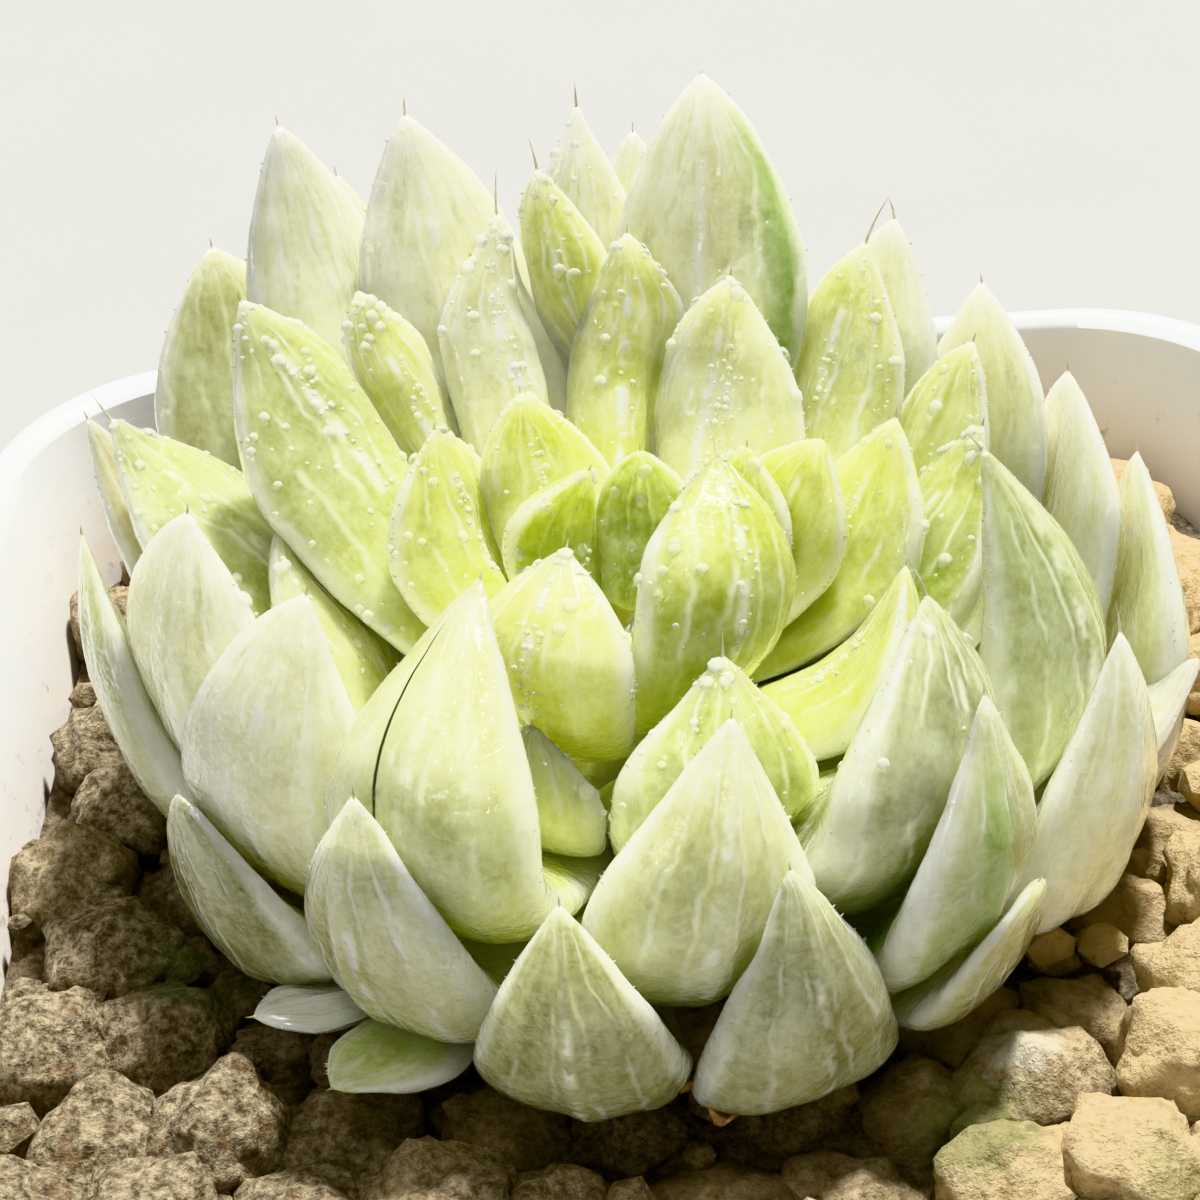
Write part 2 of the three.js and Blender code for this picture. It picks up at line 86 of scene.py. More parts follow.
# %% Leaf rows
LEAF_ROWS = {
    "low_leaf": [
        [359, 22.8, 7.5, 351, 1, 3.5, 6.5, 3], [18.5, 22.8, 12.4, 2, 1.5, 9, 11, 4],
        [30, 22.5, 14, 12, 1.5, 6.5, 10.5, 4], [43, 22.5, 16.2, 23, 1.5, 6, 9.5, 4],
        [48, 22, 8, 48, 0.8, 3, 7], [68, 22, 13, 66, 1, 4, 8], [85, 24, 20.2, 86, 1, 3.5, 7.5, 2.8],
        [100, 22, 13, 100, 1, 4, 8], [117, 24.5, 20, 116, 1, 3, 7],
        [133, 24, 19, 142, 1.5, 5, 11, 3.5, 128], [155, 23.5, 15.5, 155, 1, 4, 7],
        [168, 21.5, 13.5, 185, 1.5, 6.5, 9, 3, 205], [199, 17.8, 8.5, 211, 1.2, 5.5, 9, 3, 228],
        [260, 15.5, 11, 262, 1.2, 6.5, 8.5], [291, 14.3, 10, 292, 1.5, 7.5, 9.5],
        [321, 18.4, 7, 317, 1.2, 4.5, 9, 3],
    ],
    "old_leaf": [
        [219, 18.5, 2.5, 226, 1, 1, 5.5, 3], [233, 18.8, 2.2, 236, 1, 0.8, 6, 3],
    ],
    "outer_leaf": [
        [346, 18.8, 12.5, 335, 2.5, 8, 10.5, 2, 315], [11, 14.5, 16, 350, 4, 9, 10, 2, 322],
        [53, 21.5, 18.5, 51, 2, 3, 9, 2.6], [76, 20.5, 24.5, 64, 3, 3, 9.8, 2.8],
        [91, 22, 22.5, 91, 2.5, 3, 8, 1.7], [111, 21.5, 23.4, 112, 3, 3, 10, 2.4],
        [125, 22.5, 24, 128, 2.5, 3.5, 9, 2.6], [156, 22, 16, 158, 4.5, 2.5, 9],
        [176, 16, 16.5, 193, 2.5, 6, 10, 4, 228], [197, 11.8, 15.7, 208, 3.5, 7, 9.8, 3, 240],
        [229, 14.4, 12.4, 239, 3, 6.5, 8.5, 3], [290, 10.4, 14, 270, 4, 6.5, 9],
        [327, 15, 13, 312, 3, 7.5, 9.5],
    ],
    "middle_leaf": [
        [336, 12, 15, 310, 5, 5.5, 11.5], [24, 16.5, 14.5, 18, 5.5, 3, 8.5],
        [35, 18.7, 16, 38, 4.5, 3, 9], [53, 19, 18.5, 56, 5, 3, 9.5], [97, 18, 21.5, 90, 5, 2.5, 8],
        [103, 17.5, 20, 107, 6, 2.5, 9.5], [126, 17, 18.5, 124, 6, 2.5, 8.5],
        [143, 18, 20, 134, 5.5, 2.5, 9.5], [156, 14.8, 13, 163, 4, 2.5, 8.5],
        [215, 6, 16, 247, 4.5, 8.4, 9.2],
    ],
    "inner_leaf": [
        [358, 11, 13, 345, 7, 3, 7.5], [28, 13, 15.5, 25, 7, 3, 8], [30, 9.7, 15.5, 45, 8, 2, 7],
        [68, 15, 18, 70, 7, 2.5, 9], [85, 16.5, 19, 88, 7, 2.5, 9], [111, 9.5, 16, 113, 8.5, 2, 7],
        [136, 9.5, 16, 138, 8, 2.5, 8], [218, 2.3, 15.5, 245, 7, 2.5, 7.5],
        [240, 6.7, 11, 244, 5, 3, 6.5, 3], [305, 6.3, 13, 279, 5.5, 4, 8.5],
        [25, 4.5, 17, 270, 7.5, 2.8, 7],
    ],
    "heart_leaf": [
        [45, 7.7, 15, 40, 9, 1.5, 6.5], [76, 5, 15.5, 70, 10, 1, 5], [100, 4.5, 15, 140, 9.5, 1.5, 5.5],
    ],
}
print(sum(len(rows) for rows in LEAF_ROWS.values()), "leaves")

# %% [markdown]
# A leaf is a bowed line with a width and a thickness along it. Its skin is found by walking
# outwards from that line until the leaf's own surface is reached or a neighbour is just as near:
# crowded leaves share the room, which gives the pressed, dented shapes of a real rosette.


# %% The line and size of a leaf
def unit(v):
    return v / np.linalg.norm(v, axis=-1, keepdims=True)


def polar(reach, degrees, height):
    a = math.radians(degrees)
    return np.array([reach * math.cos(a), reach * math.sin(a), height])


def stem_radius(z):
    return np.clip(3.1 - 0.19 * z, 1.0, 3.1)


class Leaf:
    """The free shape of one leaf, in millimetres round the plant's foot."""

    def __init__(self, name, row):
        tip_turn, reach, height, root_turn, foot, bow, self.width = row[:7]
        self.name, self.blunt = name, (row[7] if len(row) > 7 else 2)
        self.thick = 0.46 * self.width
        root = polar(float(stem_radius(foot)) + 0.7, root_turn, foot)
        tip, outward = polar(reach, tip_turn, height), polar(1, root_turn, 0)
        chord, bulge = unit(tip - root), outward - np.array([0, 0, 0.6])
        middle = (root + tip) / 2 + unit(bulge - chord * (bulge @ chord)) * bow
        self.points = [root, 2 * middle - (root + tip) / 2, tip]
        flat = unit(middle * [1, 1, 0])
        facing = polar(1, row[8], 0) if len(row) > 8 else unit(0.6 * flat + 0.4 * outward)
        self.across = np.cross(facing, [0, 0, 1.0])
        self.nodes = self.at(np.linspace(0, 1, 17))

    def at(self, t):
        """Middle point, the three directions and the half sizes at the shares t of the length."""
        t = np.atleast_1d(t)[:, None]
        a, b, c = self.points
        point = a * (1 - t) ** 2 + b * 2 * t * (1 - t) + c * t**2
        along = unit((b - a) * (1 - t) + (c - b) * t)
        side = unit(self.across - along * (along @ self.across)[:, None])
        t = t[:, 0]
        wide = 0.62 + 0.38 * np.sin(np.pi / 2 * np.clip(t / 0.6, 0, 1)) ** 1.3
        narrow = 1 - np.clip((t - 0.6) / 0.4, 0, 1) ** self.blunt
        swell = 0.3 + 0.7 * np.sin(np.pi / 2 * np.clip(t / 0.45, 0, 1))
        thin = 1 - np.clip((t - 0.45) / 0.55, 0, 1) ** 2.4
        half = np.maximum(self.width / 2 * np.where(t < 0.6, wide, narrow), 0.3)
        thick = self.thick * np.where(t < 0.45, swell, thin)
        inner, outer = np.maximum(thick * 0.35, 0.3), np.maximum(thick * 0.65, 0.3)
        return dict(point=point, along=along, side=side, inward=np.cross(side, along),
                    half=half, inner=inner, outer=outer)

    def distance(self, p):
        """About how far points p are outside this leaf, negative inside."""
        n = self.nodes
        a, ab = n["point"][:-1], np.diff(n["point"], axis=0)
        f = np.clip(np.einsum("pik,ik->pi", p[:, None] - a, ab) / (ab**2).sum(1), 0, 1)
        gap = p[:, None] - a - f[..., None] * ab
        i = (gap**2).sum(2).argmin(1)
        rows = np.arange(len(p))
        f, gap = f[rows, i], gap[rows, i]

        def mix(key):
            g = f if n[key].ndim == 1 else f[:, None]
            return n[key][i] * (1 - g) + n[key][i + 1] * g

        u, v, w = ((gap * mix(k)).sum(1) for k in ("side", "inward", "along"))
        half = mix("half")
        deep = np.where(v > 0, mix("inner"), mix("outer"))
        k1 = np.sqrt((u / half) ** 2 + (v / deep) ** 2 + (w / deep) ** 2)
        k2 = np.sqrt((u / half**2) ** 2 + (v / deep**2) ** 2 + (w / deep**2) ** 2)
        return np.where(k2 < 1e-6, -deep, k1 * (k1 - 1) / np.maximum(k2, 1e-6))

    def near(self, other):
        a, b = self.nodes["point"], other.nodes["point"]
        pad = (self.width + other.width) / 2 + 0.5
        return np.all(a.min(0) - pad < b.max(0)) and np.all(b.min(0) - pad < a.max(0))


leaves = {}
for kind, rows in LEAF_ROWS.items():
    for count, row in enumerate(rows, 1):
        name = f"{kind}_{count:02d}"
        leaves[name] = Leaf(name, row)

# %% [markdown]
# The skin starts as a sphere. Its poles go to the root and the tip, and its rings are laid round
# the leaf's line. A subdivision level smooths it, and the tip is kept sharp with a vertex crease.
# Each point remembers how far along and how far across the leaf it is, for the paint.

# %% Wrap a sphere onto a leaf
SKIN_GAP = 0.12
SIDES, RINGS = ((20, 14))


def outside(leaf, others, p):
    """Positive where the leaf may not be."""
    own = leaf.distance(p)
    stem = np.maximum(np.hypot(p[:, 0], p[:, 1]) - stem_radius(p[:, 2]), p[:, 2] - STEM_TOP)
    out = np.maximum(np.maximum(own, SKIN_GAP - stem), 0.3 - p[:, 2])
    within = np.nonzero(own < 0)[0]
    for other in others:
        shared = (own[within] - other.distance(p[within]) + SKIN_GAP) / 2
        out[within] = np.maximum(out[within], shared)
    return out


SHIFTS = np.array([(u, v) for u in (0, -0.3, 0.3, -0.6, 0.6) for v in (0, -0.3, 0.3, -0.6, 0.6)])


def shifted(s, shifts):
    """Ring middles moved by shares of the half width and of the depth."""
    deep = np.where(shifts[..., 1] > 0, s["inner"], s["outer"])
    wide = s["side"] * (shifts[..., 0] * s["half"])[..., None]
    return s["point"] + wide + s["inward"] * (shifts[..., 1] * deep)[..., None]


def ring_middles(leaf, others, s):
    """The middles of the rings, moved to where there is room and evened out along the leaf."""
    count = len(s["half"])
    tries = shifted(s, np.repeat(SHIFTS[:, None], count, 1))
    value = outside(leaf, others, tries.reshape(-1, 3)).reshape(-1, count)
    value += 0.05 * np.abs(SHIFTS).sum(1)[:, None]
    crowded = value[0] > -0.4
    value[0] -= 0.02
    shifts = np.where(crowded[:, None], SHIFTS[value.argmin(0)], 0.0)
    for _ in range(2):
        shifts[1:-1] = (shifts[:-2] + 2 * shifts[1:-1] + shifts[2:]) / 4
    return shifted(s, shifts)


def skin_points(leaf, ring, turn):
    """Where the sphere's points go: ring counts from the root, turn is the angle round the ring."""
    others = [o for o in leaves.values() if o is not leaf and leaf.near(o)]
    tries = leaf.at(np.arange(0, 0.45, 0.04))
    room = outside(leaf, others, ring_middles(leaf, others, tries)) < -0.22
    start = 0.0 if room.all() else 0.04 * (np.nonzero(~room)[0].max() + 1)
    share = np.arange(RINGS + 2) / (RINGS + 1)
    share = 0.35 * share + 0.65 * (0.5 - 0.5 * np.cos(np.pi * share))
    t = start + (1 - start) * share
    s = leaf.at(t)
    middles = ring_middles(leaf, others, s)
    middles[0], middles[-1] = middles[1], middles[-2]
    deep = np.where(np.sin(turn) > 0, s["inner"][ring], s["outer"][ring])
    way = s["side"][ring] * (np.cos(turn) * s["half"][ring])[:, None]
    way = way + s["inward"][ring] * (np.sin(turn) * deep)[:, None]
    length = np.linalg.norm(way, axis=1) * 1.15
    length += np.linalg.norm(middles[ring] - s["point"][ring], axis=1)
    for end, step, sign in ((0, 1, -1), (RINGS + 1, RINGS, 1)):
        poles = ring == end
        way[poles] = s["along"][end] * sign
        length[poles] = np.linalg.norm(s["point"][step] - s["point"][end]) + (0.6 if sign < 0 else 0)
    way, origin = unit(way), middles[ring]
    steps = np.arange(1, 11) / 10
    p = origin[:, None] + way[:, None] * (length[:, None] * steps)[..., None]
    hit = outside(leaf, others, p.reshape(-1, 3)).reshape(len(ring), -1) > 0
    first = np.where(hit.any(1), hit.argmax(1), 10)
    low, high = first / 10 * length, np.minimum(first + 1, 10) / 10 * length
    for _ in range(6):
        mid = (low + high) / 2
        out = outside(leaf, others, origin + way * mid[:, None]) > 0
        high, low = np.where(out, mid, high), np.where(out, low, mid)
    reach = np.maximum(np.where(hit.any(1), (low + high) / 2, length), 0.08)
    return origin + way * reach[:, None], t[ring]


def leaf_mesh(leaf):
    bm = bmesh.new()
    bmesh.ops.create_uvsphere(bm, u_segments=SIDES, v_segments=RINGS + 1, radius=1)
    co = np.array([v.co[:] for v in bm.verts])
    ring = np.rint((1 - np.arccos(np.clip(co[:, 2], -1, 1)) / np.pi) * (RINGS + 1)).astype(int)
    turn = np.arctan2(co[:, 1], co[:, 0])
    points, t = skin_points(leaf, ring, turn)
    pole = (ring == 0) | (ring == RINGS + 1)
    along, across = bm.verts.layers.float.new("along"), bm.verts.layers.float.new("across")
    inner, crease = bm.verts.layers.float.new("inner"), bm.verts.layers.float.new("crease_vert")
    for i, v in enumerate(bm.verts):
        v.co = Vector((points[i] + PLANT) * MM)
        v[along], v[across] = t[i], 0 if pole[i] else math.cos(turn[i])
        v[inner], v[crease] = 0 if pole[i] else math.sin(turn[i]), float(ring[i] == RINGS + 1)
    free = [v for v, end in zip(bm.verts, pole) if not end]
    bmesh.ops.smooth_vert(bm, verts=free, factor=0.35, use_axis_x=True, use_axis_y=True, use_axis_z=True)
    bmesh.ops.recalc_face_normals(bm, faces=bm.faces)
    mesh = bpy.data.meshes.new(leaf.name + "_skin")
    bm.to_mesh(mesh)
    bm.free()
    return mesh


# %% Helpers that finish a piece
def add_piece(name, mesh, smooth=True):
    piece = bpy.data.objects.new(name, mesh)
    bpy.context.scene.collection.objects.link(piece)
    mesh.polygons.foreach_set("use_smooth", [smooth] * len(mesh.polygons))
    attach(piece, "root")
    return piece


def from_bmesh(name, bm, smooth=True):
    mesh = bpy.data.meshes.new(name)
    bm.to_mesh(mesh)
    bm.free()
    return add_piece(name, mesh, smooth)


def settle(piece):
    """Applies the modifiers, so that paint can be worked out on the finished points."""
    bpy.context.view_layer.update()
    done = bpy.data.meshes.new_from_object(piece.evaluated_get(bpy.context.evaluated_depsgraph_get()))
    piece.modifiers.clear()
    old, piece.data = piece.data, done
    bpy.data.meshes.remove(old)


def floats(mesh, name):
    values = np.zeros(len(mesh.vertices), np.float32)
    mesh.attributes[name].data.foreach_get("value", values)
    return values


# %% [markdown]
# The skin of a real leaf isn't smooth. Long ridges follow its veins, some leaves have a keel down
# the back, and the water inside bulges it unevenly. A few tenths of a millimetre, moved along each
# point's normal, are enough for the light to catch.

# %% Relief of the leaf skins
# Keels on the backs: leaf, place across, height in millimetres, from and to along the leaf.
KEELS = [
    ("outer_leaf_01", 0.1, 0.32, 0.3, 1.0), ("outer_leaf_02", -0.15, 0.35, 0.25, 1.0),
    ("outer_leaf_13", 0.25, 0.3, 0.35, 1.0), ("low_leaf_03", 0.2, 0.2, 0.4, 0.9),
    ("outer_leaf_12", -0.1, 0.22, 0.45, 1.0), ("middle_leaf_01", -0.3, 0.22, 0.5, 0.95),
    ("middle_leaf_01", 0.35, 0.22, 0.5, 0.95), ("low_leaf_14", 0.0, 0.2, 0.4, 1.0),
    ("outer_leaf_11", 0.2, 0.22, 0.5, 1.0), ("outer_leaf_09", -0.1, 0.2, 0.4, 0.9),
]


def vectors(mesh, kind, key):
    values = np.zeros(len(getattr(mesh, kind)) * 3, np.float32)
    getattr(mesh, kind).foreach_get(key, values)
    return values.reshape(-1, 3)


def smoothstep(x, low, high):
    x = np.clip((x - low) / (high - low), 0, 1)
    return x * x * (3 - 2 * x)


def raise_relief(name, mesh):
    co, normal = vectors(mesh, "vertices", "co"), vectors(mesh, "vertices", "normal")
    t, u, inner = (floats(mesh, key) for key in ("along", "across", "inner"))
    wave = np.array([[noise.noise(Vector(p) * f) for f in (260, 620, 1500)] for p in co])
    height = 0.13 * wave[:, 0] + 0.07 * wave[:, 1] + 0.03 * wave[:, 2] - 0.04
    ridges = np.cos((u + 0.3 * wave[:, 0]) * 10) * smoothstep(t, 0.3, 0.6) * (1 - smoothstep(t, 0.86, 0.99))
    height += 0.035 * ridges * (1 - u**2)
    for leaf, middle, amount, start, end in KEELS:
        if leaf == name:
            window = smoothstep(t, start - 0.15, start + 0.15) * (1 - 0.5 * smoothstep(t, end - 0.15, end))
            height += amount * np.exp(-(((u - middle) / 0.13) ** 2)) * window * (inner < 0)
    height *= 1 - 0.8 * smoothstep(t, 0.94, 1.0)
    co = co + normal * height[:, None] * MM
    co[:, 2] = np.minimum(co[:, 2], cad_box[1][2] - 0.00003)
    mesh.vertices.foreach_set("co", co.ravel())


# %% Make the leaf skins
skins = {}
for name, leaf in leaves.items():
    piece = add_piece(name + "_skin", leaf_mesh(leaf))
    fine = piece.modifiers.new("smooth", "SUBSURF")
    fine.levels = fine.render_levels = 2
    settle(piece)
    raise_relief(name, piece.data)
    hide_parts(name)
    skins[name] = piece
print(len(skins), "skins,", sum(len(p.data.polygons) for p in skins.values()), "faces")

# %% [markdown]
# Paint is worked out point by point from the leaf's own coordinates. Each leaf has a colour near its tip and a greener
# one towards its root, and a few leaves have green stripes. Painted shade darkens some low leaves at the front and
# left, most towards their roots, and one pale leaf is lightened nearly to white as painted light shining through it
# from behind.
# The colours are written in the usual hexadecimal form and turned into linear light.


# %% Leaf paint
def linear(hexcode):
    c = np.array([int(hexcode[i:i + 2], 16) / 255 for i in (0, 2, 4)])
    return np.where(c < 0.04045, c / 12.92, ((c + 0.055) / 1.055) ** 2.4)


KIND_COLOURS = {
    "low_leaf": ("eeefd8", "cccda0"), "old_leaf": ("b4c284", "849a48"),
    "outer_leaf": ("f7f8ee", "ecefc8"), "middle_leaf": ("e2e9a8", "d8e178"),
    "inner_leaf": ("e4eb98", "d6df60"), "heart_leaf": ("bac64c", "a6b82e"),
}
# Painted shade: low_leaf_10, low_leaf_12, low_leaf_13, low_leaf_14 and low_leaf_15 are darker and olive, and
# outer_leaf_12 has a dark root. Painted light: outer_leaf_04 is lightened nearly to white, as if lit through from
# behind.
LEAF_COLOURS = {
    "low_leaf_10": ("c2c5a4", "b4b88c"), "outer_leaf_08": ("c4cc9c", "bac480"),
    "middle_leaf_02": ("c2cc7a", "a8bc46"), "old_leaf_01": ("ecefe0", "d2d9b6"),
    "outer_leaf_02": ("bcc69c", "acba6a"), "low_leaf_13": ("969872", "787a4c"),
    "low_leaf_16": ("cacca4", "b8ba86"), "low_leaf_11": ("d2c6a8", "c6bc92"),
    "middle_leaf_01": ("b4ba96", "aab474"), "low_leaf_15": ("a6a984", "83865c"),
    "low_leaf_14": ("a4a680", "83855c"), "outer_leaf_12": ("eaedd4", "a8b06a"),
    "outer_leaf_11": ("d8dbba", "ccd29e"), "outer_leaf_13": ("d6dabc", "cad294"),
    "outer_leaf_09": ("fbfcf6", "f0f4dc"), "inner_leaf_04": ("f6f9d0", "eef2a8"), "outer_leaf_04": ("fefff8", "fafce8"),
    "outer_leaf_03": ("f4f6ee", "e4e9cc"), "inner_leaf_08": ("f2f6b4", "e4ea86"),
    "heart_leaf_02": ("a6b63e", "92a622"), "inner_leaf_09": ("eef4c0", "dfe690"),
    "inner_leaf_10": ("bec878", "b4c054"), "inner_leaf_11": ("c8d26c", "bac648"),
    "outer_leaf_06": ("fcfdf5", "f4f6d8"), "outer_leaf_07": ("f6f8ea", "eef1c8"),
    "low_leaf_03": ("fafbf0", "f0f3d2"), "low_leaf_04": ("f4f6e4", "e6e9c2"),
    "middle_leaf_08": ("ccd4a0", "c8d280"), "middle_leaf_06": ("f6f8dc", "ecf0ae"),
    "middle_leaf_10": ("d6dab6", "ccd484"), "low_leaf_12": ("ccd0ae", "b8bc8a"),
}
# Stripes: leaf, place across, width, from and to along the leaf, colour, strength.
STRIPES = [
    ("outer_leaf_04", 0.85, 0.30, 0.35, 0.95, "7fa818", 0.8),
    ("outer_leaf_13", 0.3, 0.32, 0.7, 0.93, "84ac1c", 0.9),
    ("outer_leaf_13", 0.65, 0.3, 0.42, 0.74, "6f9c10", 1.0),
    ("outer_leaf_02", -0.95, 0.4, 0.0, 0.6, "8fb320", 0.7),
    ("outer_leaf_01", -0.1, 0.3, 0.2, 0.7, "b2c648", 0.3),
    ("middle_leaf_02", 0.0, 0.9, 0.0, 0.7, "86a81c", 0.7),
    ("middle_leaf_10", 0.2, 1.0, 0.0, 0.42, "b8cc30", 0.75),
    ("middle_leaf_01", 0.3, 0.6, 0.0, 0.35, "b4c848", 0.6),
    ("outer_leaf_12", 0.0, 1.0, 0.0, 0.4, "b9cb58", 0.6),
]


def paint_leaf(name, mesh):
    tip, root = (linear(c) for c in LEAF_COLOURS.get(name, KIND_COLOURS[name.rsplit("_", 1)[0]]))
    t, u = floats(mesh, "along"), floats(mesh, "across")
    colour = root + (tip - root) * smoothstep(t, 0.15, 0.75)[:, None]
    for leaf, middle, width, start, end, hexcode, strength in STRIPES:
        if leaf == name:
            inside = np.exp(-(((u - middle) / width) ** 2)) * strength
            inside = inside * smoothstep(t, start - 0.08, start + 0.08) * (1 - smoothstep(t, end - 0.1, end + 0.1))
            colour = colour + (linear(hexcode) - colour) * inside[:, None]
    seed = mesh.attributes.new("leaf_seed", "FLOAT", "POINT")
    seed.data.foreach_set("value", np.full(len(t), 3.0 * list(leaves).index(name), np.float32))
    layer = mesh.attributes.new("tint", "FLOAT_COLOR", "POINT")
    layer.data.foreach_set("color", np.c_[colour, np.ones(len(colour))].astype(np.float32).ravel())


for name, piece in skins.items():
    paint_leaf(name, piece.data)

# %% [markdown]
# Node materials are easier to read when each node is one line. Nodes starts one, add puts in a node with its inputs set
# and links those given as sockets, and join links a socket to an input of the shader.


# %% Node helpers
class Nodes:
    def __init__(self, name):
        self.material = bpy.data.materials.new(name)
        self.material.use_nodes = True
        self.tree = self.material.node_tree
        self.shader = self.tree.nodes["Principled BSDF"]

    def add(self, kind, inputs=None, **settings):
        node = self.tree.nodes.new("ShaderNode" + kind)
        for key, value in settings.items():
            setattr(node, key, value)
        for key, value in (inputs or {}).items():
            if isinstance(value, bpy.types.NodeSocket):
                self.tree.links.new(value, node.inputs[key])
            else:
                node.inputs[key].default_value = value
        return node

    def out(self, kind, inputs=None, socket=0, **settings):
        return self.add(kind, inputs, **settings).outputs[socket]

    def math(self, operation, a, b=0.0, c=0.0, clamp=False):
        return self.out("Math", {0: a, 1: b, 2: c}, operation=operation, use_clamp=clamp)

    def ramp(self, value, low, high, to_low=0.0, to_high=1.0):
        return self.out("MapRange", {"Value": value, "From Min": low, "From Max": high,
                                     "To Min": to_low, "To Max": to_high})

    def mix(self, share, a, b, blend="MIX"):
        node = self.add("Mix", data_type="RGBA", blend_type=blend)
        for index, value in ((0, share), (6, a), (7, b)):
            if isinstance(value, bpy.types.NodeSocket):
                self.tree.links.new(value, node.inputs[index])
            elif index:
                node.inputs[index].default_value = (*value, 1.0)
            else:
                node.inputs[index].default_value = value
        return node.outputs[2]

    def noise(self, vector, scale, detail=2.0, rough=0.5, socket=0):
        return self.out("TexNoise", {"Vector": vector, "Scale": scale, "Detail": detail, "Roughness": rough},
                        socket=socket)

    def set(self, **values):
        for key, value in values.items():
            self.shader.inputs[key.replace("_", " ")].default_value = value

    def join(self, socket, value):
        self.tree.links.new(value, self.shader.inputs[socket])

    def place(self):
        return self.out("TexCoord", socket=3)

    def attribute(self, name, socket="Fac"):
        return self.add("Attribute", attribute_name=name).outputs[socket]


# %% [markdown]
# A haworthia leaf is a thick bag of water with a clear skin. Light goes in and comes out tinted, which is subsurface
# scattering, and the wet skin is a glossy coat. Pale veins run to the tip, and clouds of milky tissue lie between clear
# windows. The veins are lines of equal place across the leaf, bent a little by noise, so they close up towards the tip
# as real ones do. A broken bright streak down the midrib, mixed into the vein paint, is a painted highlight for the
# glints of the wet skin, and the pale margins are partly the leaf's own clear edge and partly painted rim light.


